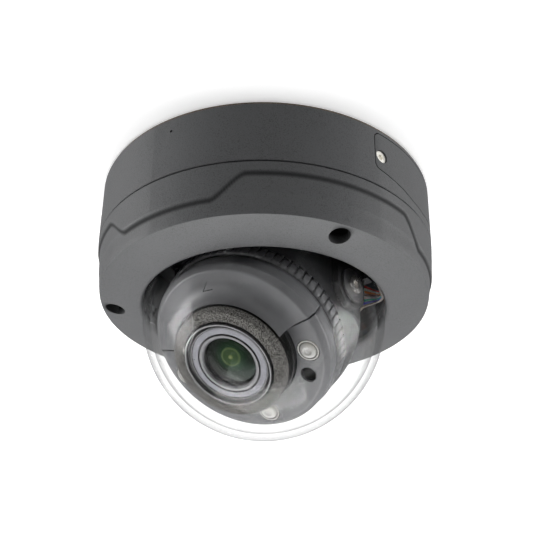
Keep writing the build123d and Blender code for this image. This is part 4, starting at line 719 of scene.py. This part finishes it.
class DOMECAMERA_OT_cover(bpy.types.Operator):
    """Lower cover with its soft zig-zag step, rounded rim and screw wells, and painted shade in the step's band
    and in the wells
    """
    bl_idname = "dome_camera.cover"
    bl_label = "Dome cover"

    def execute(self, context):
        sizes = context.scene.dome_camera_housing
        wall_r, rim_z, top_z = reach("dome_cover")[1:]
        wall = self.wall(sizes, wall_r)
        mesh = turned(rounded(wall + self.inside(sizes, wall_r, rim_z), 6), COVER_STEPS)
        wall_in = wall_r - WALL_DRAFT - sizes.edge_inset - INNER_MARGIN
        self.set_back(mesh, sizes, wall_in)
        cover = made("dome_cover_shell", mesh)
        wells = [at_azimuth(azimuth, wall_r - WELL_INSET) for azimuth in WELL_AZIMUTHS]
        for well in wells:
            carved(cover, rod(WELL_RADIUS + WELL_WALL, 2 * MM - sizes.edge_depth, top_z, well), "UNION")
        for well in wells:
            carved(cover, rod(WELL_RADIUS, rim_z - MM, rim_z + WELL_RISE, well))
            carved(cover, rod(SCREW_HOLE, rim_z - MM, top_z + MM, well, 24))
        middles = [well.translation.xy for well in wells]
        # Painted shade in the wells and along the zig-zag step's band
        store_painted_shade(cover, lambda point: self.depth(point, sizes, middles, rim_z, wall_in))
        dress(cover, "dome_cover")
        return {"FINISHED"}

    def wall(self, sizes, wall_r):
        """Corners of the outer wall, from its chamfer at the seam with the base down to its lower edge."""
        seam_z = reach("base_housing")[2]
        start_z = seam_z - 0.4 * MM
        edge_z = -sizes.edge_depth
        edge_r = wall_r - sizes.edge_inset
        bend_r = wall_r - WALL_DRAFT
        corners = [(wall_r - 0.5 * MM, seam_z, 0)]
        for level in range(WALL_LEVELS):
            height = start_z + (edge_z - start_z) * level / WALL_LEVELS
            if height > WALL_BEND:
                radius = wall_r + (bend_r - wall_r) * (height - seam_z) / (WALL_BEND - seam_z)
            else:
                radius = bend_r + (edge_r - bend_r) * (height - WALL_BEND) / (edge_z - WALL_BEND)
            corners.append((radius, height, 0))
        return corners + [(edge_r, edge_z, 0.3 * MM)]

    def inside(self, sizes, wall_r, rim_z):
        """Corners from the opening round the dome, over the dome's seat, up to the lip inside the base."""
        seam_z = reach("base_housing")[2]
        seat_z = reach("dome_gasket")[2]
        ring_z = reach("dome_retainer")[2]
        opening_r = DOME_OUTER + DOME_SLACK
        flange_r = reach("clear_dome")[1] + 0.3 * MM
        inner_r = wall_r - WALL_THICK
        lip_in, lip_out, lip_z = inner_r - LIP_THICK, inner_r + LIP_SLACK, seam_z + LIP_HEIGHT
        return [(opening_r, rim_z, sizes.rim_rounding), (opening_r, seat_z, 0), (flange_r, seat_z, 0),
                (flange_r, ring_z, 0), (inner_r - 4.5 * MM, ring_z, 0),
                (inner_r, 3 * MM - sizes.edge_depth, 0), (inner_r, seam_z - 4 * MM, 0),
                (lip_in, seam_z - 2 * MM, 0), (lip_in, lip_z, 0), (lip_out, lip_z, 0), (lip_out, seam_z, 0)]

    def under_line(self, point, sizes):
        """How far a point has come through the soft band along the zig-zag line, from 0 to 1."""
        line = step_line(azimuth_of(point), sizes.step_high, sizes.step_low)
        return smooth((-point.z - line) / sizes.step_band + 0.5)

    def depth(self, point, sizes, wells, rim_z, wall_in):
        """Painted shade of a point: growing with its depth in a screw well, and strongest halfway through the soft
        band.
        """
        if min((point.xy - well).length for well in wells) < WELL_RADIUS + 0.05 * MM:
            return smooth((point.z - rim_z - 2 * MM) / (2 * MM))
        if point.xy.length < wall_in:
            return 0.0
        return sizes.band_shade * halfway(self.under_line(point, sizes))

    def set_back(self, mesh, sizes, wall_in):
        """Move the wall in under the zig-zag line, with a soft band along the line."""
        for vertex in mesh.verts:
            point = vertex.co
            radius = math.hypot(point.x, point.y)
            if radius < wall_in or -point.z >= sizes.edge_depth - EDGE_MARGIN:
                continue
            share = self.under_line(point, sizes)
            fade = 1 - smooth((WALL_BEND - point.z) / (sizes.edge_depth + WALL_BEND) * STEP_FADE)
            scale = 1 - (sizes.step_set * fade * share + STEP_GROOVE * halfway(share)) / radius
            point.x *= scale
            point.y *= scale


class DOMECAMERA_OT_clear_dome(bpy.types.Operator):
    """Clear bubble, finely divided so that it refracts evenly"""
    bl_idname = "dome_camera.clear_dome"
    bl_label = "Clear dome"

    def execute(self, context):
        sizes = context.scene.dome_camera_dome
        flange_r, low, top = reach("clear_dome")[1:]
        centre = low + DOME_OUTER
        collar_z = centre + 0.2 * MM
        flange_z = top - DOME_FLANGE
        shares = [step / sizes.rings for step in range(sizes.rings + 1)]
        outline = [self.on_arc(DOME_OUTER, centre, share) for share in shares]
        outline += rounded([(DOME_OUTER, collar_z, 0), (DOME_OUTER, flange_z, 0.4 * MM),
                            (flange_r, flange_z, 0.2 * MM), (flange_r, top, 0.2 * MM),
                            (DOME_INNER, top, 0.2 * MM), (DOME_INNER, collar_z, 0)], 3)
        outline += [self.on_arc(DOME_INNER, centre, 1 - share) for share in shares]
        dome = made("clear_dome_shell", turned(outline, sizes.steps, closed=False))
        dress(dome, "clear_dome")
        return {"FINISHED"}

    def on_arc(self, radius, centre, share):
        """Point of the dome's outline, from its pole at 0 to its rim at 1."""
        angle = share * math.pi / 2
        return (radius * math.sin(angle), centre - radius * math.cos(angle))


# --- Lens module ---

# Radii, and heights along the lens axis, of the front face, its hood's lip and the band behind its edge
PANEL_INNER = 20.9 * MM
RIM_INNER = 30.0 * MM
FACE_R = 30.4 * MM
BAND_FRONT = 19.9 * MM
FACE_EDGE = 20.6 * MM
FACE_BACK = 21.2 * MM
FACE_FRONT = 22.8 * MM
LIP_WIDTH = 0.3 * MM
FLARE_STEPS = 12
RING_STEPS = 160
PANEL_STEPS = 180
SEAM_GAP = math.radians(1.25)

# What stands in the face, at angles in degrees
LAMP_ANGLES = (-12.3, -90.0, 192.3)
LAMP_RING = 25.4 * MM
LAMP_HOLE = 4.1 * MM
LAMP_STEPS = 64
LAMP_SLACK = 0.3 * MM
LAMP_DOME = 3.15 * MM
SENSOR_ANGLE = -34.1
SENSOR_HOLE = 2.85 * MM
MARK_ANGLE = 95.6
MARK_RADIUS = 24.2 * MM
MARK_SIZE = 4.0 * MM
MARK_LINE = 0.3 * MM
MARK_DEPTH = 0.3 * MM
MARK_TURNS = (math.radians(-47.6), math.radians(-95.2))

# An outline that ends at its axis stops this far from it
AXIS_R = 0.0005 * MM

# Lens front: where the barrel's neck ends and the floor of its bore for the ring, and the ring's key notch
NECK_TOP = 24.0 * MM
BORE_FLOOR = 28.0 * MM
NOTCH = (1.0 * MM, 0.8 * MM, 0.9 * MM)

# Grip ring: the slot of each seam of the band, and where the grooves of the grip have their bottom
SEAM_SLOT = (1.0 * MM, 0.3 * MM, 5.6 * MM)
SEAM_SLOT_R = 32.2 * MM
SEAM_SLOT_Z = 17.1 * MM
GROOVE_R = 33.1 * MM
GROOVE_LOW = 9.2 * MM
GROOVE_HIGH = 14.25 * MM

# Foam: size of its faces, and its lumps per metre
FOAM_FACE = 0.42 * MM
FOAM_STEPS = 280
FINE_LUMPS = 2600
BROAD_LUMPS = 900
SLEEVE_THICK = 0.6 * MM


class DOMECAMERA_OT_front_covers(bpy.types.Operator):
    """Hood that flares up to the foam, and the flat panel of the lamps"""
    bl_idname = "dome_camera.front_covers"
    bl_label = "Hood and panel"

    def execute(self, context):
        sizes = context.scene.dome_camera_ball
        self.hood(sizes)
        self.panel(sizes)
        return {"FINISHED"}

    def rim(self, sizes, band_r):
        """Corners from the back of the face, round the band's foot, to the front of the face."""
        return [(RIM_INNER, FACE_BACK, 0), (RIM_INNER, BAND_FRONT, 0), (band_r, BAND_FRONT, 0.15 * MM),
                (band_r, FACE_EDGE, sizes.bevel_rounding), (FACE_R, FACE_FRONT, sizes.bevel_rounding)]

    def hood(self, sizes):
        """Part of the face that flares up to a lip round the foam, with its line mark."""
        band_r, _, lip_z = reach("hood", MODULE)[1:]
        flare = lip_z - FACE_FRONT
        flare_r = PANEL_INNER + LIP_WIDTH + flare
        corners = [(PANEL_INNER, lip_z, 0.12 * MM), (PANEL_INNER, FACE_BACK, 0)] + self.rim(sizes, band_r)
        outline = rounded(corners + [(flare_r, FACE_FRONT, 0)])[:-1]
        for step in range(FLARE_STEPS + 1):
            angle = math.pi / 2 * step / FLARE_STEPS
            outline.append((flare_r - flare * math.sin(angle), lip_z - flare * math.cos(angle)))
        half = sizes.hood_half
        mesh = turned(outline, RING_STEPS, start=math.pi / 2 - half, sweep=2 * half)
        hood = made("hood_shell", moved(mesh, MODULE))
        cutter = 2.1 * MM
        tip = in_module(MARK_ANGLE, MARK_RADIUS, FACE_FRONT + cutter / 2 - MARK_DEPTH)
        for turn in MARK_TURNS:
            stroke = Matrix.Rotation(turn, 4, "Z") @ Matrix.Translation(((MARK_SIZE - MARK_LINE) / 2, 0, 0))
            carved(hood, slab((MARK_SIZE, MARK_LINE, cutter), tip @ stroke))
        dress(hood, "hood")

    def panel(self, sizes):
        """Flat part of the face, with the holes of the lamps and of the light sensor."""
        band_r = reach("ir_panel", MODULE)[1]
        corners = [(PANEL_INNER, FACE_FRONT, 0.25 * MM), (PANEL_INNER, FACE_BACK, 0)]
        outline = rounded(corners + self.rim(sizes, band_r))
        half = math.pi - sizes.hood_half - SEAM_GAP
        mesh = turned(outline, PANEL_STEPS, start=1.5 * math.pi - half, sweep=2 * half)
        panel = made("ir_panel_shell", moved(mesh, MODULE))
        for angle, radius in [(angle, LAMP_HOLE) for angle in LAMP_ANGLES] + [(SENSOR_ANGLE, SENSOR_HOLE)]:
            carved(panel, rod(radius, FACE_BACK - MM, FACE_FRONT + MM, in_module(angle, LAMP_RING)))
        dress(panel, "ir_panel")


class DOMECAMERA_OT_lamp_lenses(bpy.types.Operator):
    """Clear lenses of the lamps, each a rim, a step with painted shade and a dome over its yellow chip"""
    bl_idname = "dome_camera.lamp_lenses"
    bl_label = "Lamp lenses"

    def execute(self, context):
        back, front = reach("led_lenses", MODULE)[2:]
        rim_r = LAMP_HOLE - LAMP_SLACK
        rim_z = FACE_FRONT + 0.05 * MM
        corners = [(AXIS_R, back, 0), (rim_r, back, 0), (rim_r, rim_z, 0.1 * MM),
                   (rim_r - 0.45 * MM, rim_z, 0.1 * MM), (rim_r - 0.6 * MM, rim_z - 0.5 * MM, 0),
                   (LAMP_DOME, rim_z - 0.45 * MM, 0), (LAMP_DOME * 0.82, front - 0.28 * MM, 0.6 * MM),
                   (LAMP_DOME * 0.5, front, 0.8 * MM), (LAMP_DOME * 0.3, front - 0.37 * MM, 0.2 * MM),
                   (AXIS_R, front - 0.42 * MM, 0)]
        places = [in_module(angle, LAMP_RING) for angle in LAMP_ANGLES]
        mesh = joined([moved(turned(rounded(corners), LAMP_STEPS), place) for place in places])
        lenses = made("lamp_lenses", mesh, sharp=math.radians(40))
        backs = [place.inverted() for place in places]
        # Painted shade on each lens's step inside its rim, and a little at its middle
        store_painted_shade(lenses, lambda point: self.step(min((back @ point).xy.length for back in backs), rim_r))
        dress(lenses, "led_lenses")
        return {"FINISHED"}

    def step(self, radius, rim_r):
        """How much a lens is darkened at a radius: painted shade on the step inside its rim, and a little at its
        middle.
        """
        if LAMP_DOME * 0.97 < radius < rim_r - 0.5 * MM:
            return 0.85
        return 0.25 * (1 - smooth(radius / (0.4 * LAMP_DOME)))


class DOMECAMERA_OT_lens_front(bpy.types.Operator):
    """Barrel and stepped ring round the front glass, with bright edges between dark steps: rounded edges with
    painted highlights
    """
    bl_idname = "dome_camera.lens_front"
    bl_label = "Lens front"

    def execute(self, context):
        self.barrel()
        self.ring(context.scene.dome_camera_ball)
        return {"FINISHED"}

    def barrel(self):
        """Barrel that widens from its neck and ends in a rim that steps down to the ring."""
        inner, outer, back, front = reach("lens_barrel", MODULE)
        _, ring_r, _, face = reach("name_ring", MODULE)
        rim = 0.65 * MM
        widening = 1.15 * MM
        bore = ring_r + 0.05 * MM
        corners = [(inner, back, 0), (outer - widening, back, 0), (outer - widening, NECK_TOP, 0),
                   (outer, NECK_TOP + widening, 0), (outer, front, 0.2 * MM), (outer - rim, front, 0.2 * MM),
                   (outer - rim, face - 0.4 * MM, 0), (outer - 2 * rim, face - 0.9 * MM, 0),
                   (bore, face - 1.1 * MM, 0), (bore, BORE_FLOOR, 0), (inner, BORE_FLOOR, 0)]
        mesh = moved(turned(rounded(corners), RING_STEPS), MODULE)
        dress(made("lens_barrel_shell", mesh, RING_SHARP), "lens_barrel")

    def ring(self, sizes):
        """Ring with a step, a groove and a lip down to the glass, and its key notch."""
        _, outer, back, face = reach("name_ring", MODULE)
        glass = reach("front_lens", MODULE)[1] - MM
        edge = 0.12 * MM
        step = 0.3 * MM
        corners = [(glass + 1.05 * MM, back, 0), (outer, back, 0), (outer, face, edge),
                   (outer - step, face, edge), (outer - 1.6 * step, face - 0.45 * MM, 0),
                   (outer - 1.9 * step, face - 0.25 * MM, 0),
                   (glass + 2.05 * MM, face - 0.25 * MM, edge), (glass + 1.95 * MM, face - 1.0 * MM, 0),
                   (glass + 1.5 * MM, face - 1.0 * MM, 0), (glass + 1.4 * MM, face - 0.15 * MM, edge),
                   (glass + 0.6 * MM, face - 0.15 * MM, edge), (glass, face - 0.9 * MM, 0),
                   (glass, face - 1.9 * MM, 0), (glass + 1.05 * MM, face - 1.9 * MM, 0)]
        ring = made("name_ring_shell", moved(turned(rounded(corners), RING_STEPS), MODULE), RING_SHARP)
        notch = in_module(math.degrees(sizes.notch_turn), outer - 0.9 * MM, face)
        carved(ring, slab(NOTCH, notch), sharp=RING_SHARP)
        dress(ring, "name_ring")


class DOMECAMERA_OT_grip_ring(bpy.types.Operator):
    """Grip ring with wide grooves, and the band's two seams"""
    bl_idname = "dome_camera.grip_ring"
    bl_label = "Grip ring"

    def execute(self, context):
        ring = made("grip_ring", cad_mesh("knurled_ring"), RING_SHARP)
        half = math.degrees(context.scene.dome_camera_ball.hood_half + SEAM_GAP / 2)
        places = [in_module(90 + side * half, SEAM_SLOT_R, SEAM_SLOT_Z) for side in (-1, 1)]
        carved(ring, joined([slab(SEAM_SLOT, place) for place in places]), sharp=RING_SHARP)
        # Painted shade at the bottoms of the grip's grooves
        store_painted_shade(ring, lambda point: self.painted_groove_shade(TO_MODULE @ point))
        dress(ring, "knurled_ring")
        return {"FINISHED"}

    def painted_groove_shade(self, point):
        """Painted shade: 1 at the bottom of a groove of the grip."""
        return float(GROOVE_LOW < point.z < GROOVE_HIGH and point.xy.length < GROOVE_R)


class DOMECAMERA_OT_foam_collar(bpy.types.Operator):
    """Foam collar between the lens and the dome"""
    bl_idname = "dome_camera.foam_collar"
    bl_label = "Foam collar"

    def execute(self, context):
        inner, outer, back, front = reach("foam_ring", MODULE)
        relief = context.scene.dome_camera_ball.foam_relief
        low, high, top = inner + relief, outer - relief, front - relief
        outline = rounded([(low, back, 0), (high, back, 0), (high, top, 0.9 * MM), (low, top, 0.7 * MM)], 4)
        mesh = turned(self.divided(outline), FOAM_STEPS)
        for vertex in mesh.verts:
            lump = noise.noise(vertex.co * FINE_LUMPS) + 0.6 * noise.noise(vertex.co * BROAD_LUMPS)
            vertex.co += vertex.normal * lump * relief * 0.8
        foam = made("foam_collar", moved(mesh, MODULE), sharp=math.pi)
        lip_z = reach("hood", MODULE)[3]
        # Painted dark band on the foam's outer wall: the black sleeve, and painted shade
        store_painted_shade(foam, lambda point: self.sleeve_and_painted_shade(TO_MODULE @ point, outer, lip_z))
        dress(foam, "foam_ring")
        return {"FINISHED"}

    def sleeve_and_painted_shade(self, point, outer, lip_z):
        """1 on the outer wall up to the hood's lip: painted dark, standing for the black sleeve that holds the
        foam and for painted shade there.
        """
        return float(point.xy.length > outer - SLEEVE_THICK and point.z < lip_z + 0.2 * MM)

    def divided(self, outline):
        """Closed outline with its runs divided into short steps."""
        points = []
        for start, end in zip(outline, outline[1:] + outline[:1]):
            count = max(1, round((end - start).length / FOAM_FACE))
            points += [start.lerp(end, index / count) for index in range(count)]
        return points


# --- Wires ---

WIRE_COLOURS = ((0.8, 0.03, 0.02), (0.98, 0.9, 0.84), (0.98, 0.28, 0.05), (0.2, 0.03, 0.02),
                (0.98, 0.97, 0.94), (0.02, 0.6, 0.46), (0.07, 0.11, 0.7), (0.24, 0.2, 0.18))

# The wires' loop beside the ear, outside a radius and about a depth: an angle in degrees from +X towards +Y,
# how many millimetres out and up the wires go there, and by what factor they spread
LOOP_RADIUS = 35 * MM
LOOP_DEPTH = 34 * MM
LOOP = ((-21, 0, 0, 1), (-13, 1.2, 2.6, 0.6), (-3, 4.7, -4.2, 0.45), (9, -2.0, 2.5, 1.36), (30, -1.6, 2.0, 1),
        (60, 0, 0, 1))


class DOMECAMERA_OT_wires(bpy.types.Operator):
    """Coloured wires from the main board to the ball"""
    bl_idname = "dome_camera.wires"
    bl_label = "Wires"

    def execute(self, context):
        mesh = cad_mesh("wire_harness")
        for vertex in mesh.verts:
            self.loop_out(vertex.co)
        strands = self.strands(mesh)
        strands.sort(key=lambda faces: -min(vertex.co.z for face in faces for vertex in face.verts))
        for index, faces in enumerate(strands):
            for face in faces:
                face.material_index = index
        wires = made("wire_strands", mesh, sharp=math.radians(60))
        dress(wires, "wire_harness", self.jacket(0))
        for index in range(1, len(WIRE_COLOURS)):
            wires.data.materials.append(self.jacket(index))
        return {"FINISHED"}

    def loop_out(self, point):
        """Let the wires leave the plug, loop outwards and come back in behind the ear."""
        radius = point.xy.length
        angle = math.degrees(math.atan2(point.y, point.x))
        if radius < LOOP_RADIUS or not LOOP[0][0] < angle < LOOP[-1][0]:
            return
        after = next(index for index, knot in enumerate(LOOP) if knot[0] > angle)
        first, last = LOOP[after - 1], LOOP[after]
        share = smooth((angle - first[0]) / (last[0] - first[0]))
        out, up, spread = (low + (high - low) * share for low, high in zip(first[1:], last[1:]))
        point.z = -LOOP_DEPTH + up * MM + (point.z + LOOP_DEPTH) * spread
        point.x *= 1 + out * MM / radius
        point.y *= 1 + out * MM / radius

    def strands(self, mesh):
        """Faces of each separate wire."""
        left = set(mesh.faces)
        found = []
        while left:
            queue = [left.pop()]
            faces = []
            while queue:
                face = queue.pop()
                faces.append(face)
                near = {other for edge in face.edges for other in edge.link_faces} & left
                left -= near
                queue += near
            found.append(faces)
        return found

    def jacket(self, index):
        """Glossy insulation of one wire."""
        return plain("wire_jacket_%d" % index, WIRE_COLOURS[index], mottle=0.1, grain=0.6 * MM,
                     rough=(0.28, 0.42))


# --- Finishes of the CAD nodes that keep their shapes ---

class DOMECAMERA_OT_housing_finish(bpy.types.Operator):
    """Finishes of the base, its service cover and their seals and screws"""
    bl_idname = "dome_camera.housing_finish"
    bl_label = "Housing finish"

    def execute(self, context):
        paint_nodes("base_housing", "service_cover", "mounting_gasket", "cable_grommet",
                    "service_cover_gasket", "service_cover_screws", "cover_seal", "cover_screws",
                    "dome_gasket", "dome_retainer", "dome_screws", "mic_seal", "microphone", "frame_screws")
        return {"FINISHED"}


class DOMECAMERA_OT_electronics_finish(bpy.types.Operator):
    """Finishes of the boards and what stands on them"""
    bl_idname = "dome_camera.electronics_finish"
    bl_label = "Electronics finish"

    def execute(self, context):
        paint_nodes("card_board", "board_link", "card_socket", "memory_card", "reset_switch", "reset_button",
                    "main_board", "processor", "thermal_pad", "board_connectors", "harness_plugs",
                    "led_board", "led_chips", "sensor_board", "image_sensor", "sensor_screws")
        return {"FINISHED"}


class DOMECAMERA_OT_ball_finish(bpy.types.Operator):
    """Finishes of the pan frame, the ball and the lens"""
    bl_idname = "dome_camera.ball_finish"
    bl_label = "Ball finish"

    def execute(self, context):
        paint_nodes("chassis_plate", "pan_retainer", "retainer_screws", "pan_bracket", "rear_shell",
                    "tilt_washers", "tilt_screws", "roll_retainer", "module_frame", "light_sensor",
                    "lens_body", "focus_ring", "zoom_ring", "focus_pinion", "zoom_pinion", "lens_motors",
                    "front_lens", "inner_lenses", "aperture_plate", "lens_mount")
        return {"FINISHED"}


# --- Stage ---

# Places in metres: lamps on both sides, below and in front, and the half widths of the stage's sheets
LAMP_AIM = (0, 0, -45 * MM)
SIDE_LAMPS = ((-0.8, 0.0, 0.06), (0.8, 0.0, 0.06))
LOW_LAMP = (0.0, 0.25, -0.93)
FRONT_LAMP = (0.0, -0.9, 0.2)
SOFT_LIGHT = 0.17
# Kinds of ray that show the stage itself
SHOWING_RAYS = ("Camera", "Glossy", "Transmission")
CEILING_Z, CEILING_HALF = 0.6 * MM, 0.62
FLOOR_Z, FLOOR_HALF = -1.0, 3.0
CARD_PLACE, CARD_HALF = (0, -0.9, -0.6), 0.6
# The point that the camera looks at, and the width of its sensor in millimetres
CAMERA_AIM = (0.64 * MM, 0, -27.48 * MM)
SENSOR_WIDTH = 36.0


class DOMECAMERA_OT_stage(bpy.types.Operator):
    """Ceiling, floor, lamps, world and camera"""
    bl_idname = "dome_camera.stage"
    bl_label = "Stage"

    def execute(self, context):
        settings = context.scene.dome_camera_stage
        context.scene.view_settings.view_transform = "Standard"
        self.world(context.scene)
        self.sheet("ceiling", CEILING_HALF, (0, 0, CEILING_Z), math.pi, self.ceiling_paint())
        self.sheet("floor", FLOOR_HALF, (0, 0, FLOOR_Z), 0, self.floor_paint())
        self.sheet("card", CARD_HALF, CARD_PLACE, math.pi / 2, self.card_paint())
        for place in SIDE_LAMPS:
            self.lamp("side_lamp", place, (0.5, 0.9), settings.side_power)
        self.lamp("low_lamp", LOW_LAMP, (1.2, 0.9), settings.low_power)
        self.lamp("front_lamp", FRONT_LAMP, (0.8, 0.3), settings.front_power)
        self.camera(context.scene, settings)
        return {"FINISHED"}

    def world(self, scene):
        """White to look at, and an even soft light."""
        scene.world = bpy.data.worlds.new("studio")
        scene.world.use_nodes = True
        nodes = Nodes(scene.world.node_tree, "World Output")
        soft, white = nodes.tree.nodes["Background"], nodes.add("ShaderNodeBackground")
        for background, strength in ((soft, SOFT_LIGHT), (white, 1.0)):
            background.inputs["Color"].default_value = (1, 1, 1, 1)
            background.inputs["Strength"].default_value = strength
        seen = nodes.rays(*SHOWING_RAYS)
        nodes.show(nodes.mix(seen, soft.outputs[0], white.outputs[0]))

    def sheet(self, name, half, place, tilt, material):
        """Square stage piece, tilted about X."""
        mesh = bmesh.new()
        bmesh.ops.create_grid(mesh, x_segments=1, y_segments=1, size=half)
        piece = made(name, moved(mesh, Matrix.Translation(place) @ Matrix.Rotation(tilt, 4, "X")))
        piece.data.materials.append(material)

    def pale(self, name, grain, **values):
        """Dull white paint."""
        finish = Finish(name)
        paint = finish.ramp(finish.noise(grain), (0.8, 0.8, 0.8), (0.82, 0.82, 0.82))
        return finish.put(Base_Color=paint, Roughness=0.9, Specular_IOR_Level=0.0, **values)

    def ceiling_paint(self):
        """White paint seen only from below, dimmer in a mirror, which keeps the object's shadow."""
        finish = self.pale("ceiling_paint", 30 * MM, Emission_Color=(1, 1, 1, 1), Emission_Strength=0.42)
        below = finish.number("SUBTRACT", 1.0, finish.add("ShaderNodeNewGeometry").outputs["Backfacing"])
        shown = finish.number("MULTIPLY", below, finish.rays(*SHOWING_RAYS))
        paint = finish.mix(finish.rays("Glossy"), finish.shader.outputs[0], finish.emission(0.25))
        finish.show(finish.mix(shown, finish.clear(), paint))
        return finish.material

    def floor_paint(self):
        """Pale floor that glows for the rays that show it."""
        finish = self.pale("floor_paint", 40 * MM)
        seen = finish.rays(*SHOWING_RAYS)
        shown = finish.mix(seen, finish.emission(0.0), finish.emission(0.55))
        finish.show(finish.add("ShaderNodeAddShader", {0: finish.shader.outputs[0], 1: shown}).outputs[0])
        return finish.material

    def card_paint(self):
        """Grey card behind the camera, paler at its sides, which only mirror rays meet."""
        finish = Finish("card_paint")
        across = finish.add("ShaderNodeSeparateXYZ", {0: finish.coords}).outputs["X"]
        strength = finish.between(finish.number("ABSOLUTE", across), 0.2, 1.0, 0.15, 0.6)
        glow = finish.emission(strength, finish.ramp(finish.noise(30 * MM), (0.9, 0.9, 0.9), (1, 1, 1)))
        finish.show(finish.mix(finish.rays("Glossy"), finish.clear(), glow))
        return finish.material

    def lamp(self, name, place, size, power):
        """Soft box that faces the part."""
        data = bpy.data.lights.new(name, "AREA")
        data.shape = "RECTANGLE"
        data.size, data.size_y = size
        data.energy = power
        lamp = bpy.data.objects.new(name, data)
        lamp.location = place
        lamp.rotation_euler = (Vector(LAMP_AIM) - Vector(place)).to_track_quat("-Z", "Y").to_euler()
        bpy.context.scene.collection.objects.link(lamp)

    def camera(self, scene, settings):
        """Camera under and in front of the part, looking up at it."""
        data = bpy.data.cameras.new("camera")
        data.sensor_width = SENSOR_WIDTH
        data.lens = settings.lens
        data.clip_start = 10 * MM
        turn = Matrix.Rotation(math.pi / 2 + settings.below, 4, "X") @ Matrix.Rotation(-settings.lean, 4, "Z")
        back = Matrix.Translation((0, 0, settings.distance))
        camera = bpy.data.objects.new("camera", data)
        camera.matrix_world = Matrix.Translation(CAMERA_AIM) @ turn @ back
        scene.collection.objects.link(camera)
        scene.camera = camera


# --- Add-on ---

class DOMECAMERA_PT_panel(bpy.types.Panel):
    """Sidebar panel with the part's settings and operators"""
    bl_idname = "DOMECAMERA_PT_panel"
    bl_label = "Dome Camera"
    bl_space_type = "VIEW_3D"
    bl_region_type = "UI"
    bl_category = "Dome Camera"

    def draw(self, context):
        for name, group in SETTINGS.items():
            box = self.layout.box()
            for prop in group.__annotations__:
                box.prop(getattr(context.scene, name), prop)
        for operator in OPERATORS:
            self.layout.operator(operator.bl_idname)


OPERATORS = (
    DOMECAMERA_OT_stage, DOMECAMERA_OT_cover, DOMECAMERA_OT_clear_dome, DOMECAMERA_OT_front_covers,
    DOMECAMERA_OT_lamp_lenses, DOMECAMERA_OT_lens_front, DOMECAMERA_OT_grip_ring, DOMECAMERA_OT_foam_collar,
    DOMECAMERA_OT_wires, DOMECAMERA_OT_housing_finish, DOMECAMERA_OT_electronics_finish,
    DOMECAMERA_OT_ball_finish,
)
CLASSES = (*SETTINGS.values(), *OPERATORS, DOMECAMERA_PT_panel)


def register():
    """Make the classes and the scene's settings known."""
    for cls in CLASSES:
        bpy.utils.register_class(cls)
    for name, group in SETTINGS.items():
        setattr(bpy.types.Scene, name, PointerProperty(type=group))


def unregister():
    """Take back what register did."""
    for name in SETTINGS:
        delattr(bpy.types.Scene, name)
    for cls in reversed(CLASSES):
        bpy.utils.unregister_class(cls)


def main():
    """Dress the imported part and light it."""
    register()
    bpy.ops.dome_camera.stage()
    bpy.ops.dome_camera.cover()
    bpy.ops.dome_camera.clear_dome()
    bpy.ops.dome_camera.front_covers()
    bpy.ops.dome_camera.lamp_lenses()
    bpy.ops.dome_camera.lens_front()
    bpy.ops.dome_camera.grip_ring()
    bpy.ops.dome_camera.foam_collar()
    bpy.ops.dome_camera.wires()
    bpy.ops.dome_camera.housing_finish()
    bpy.ops.dome_camera.electronics_finish()
    bpy.ops.dome_camera.ball_finish()


if __name__ == "__main__":
    main()
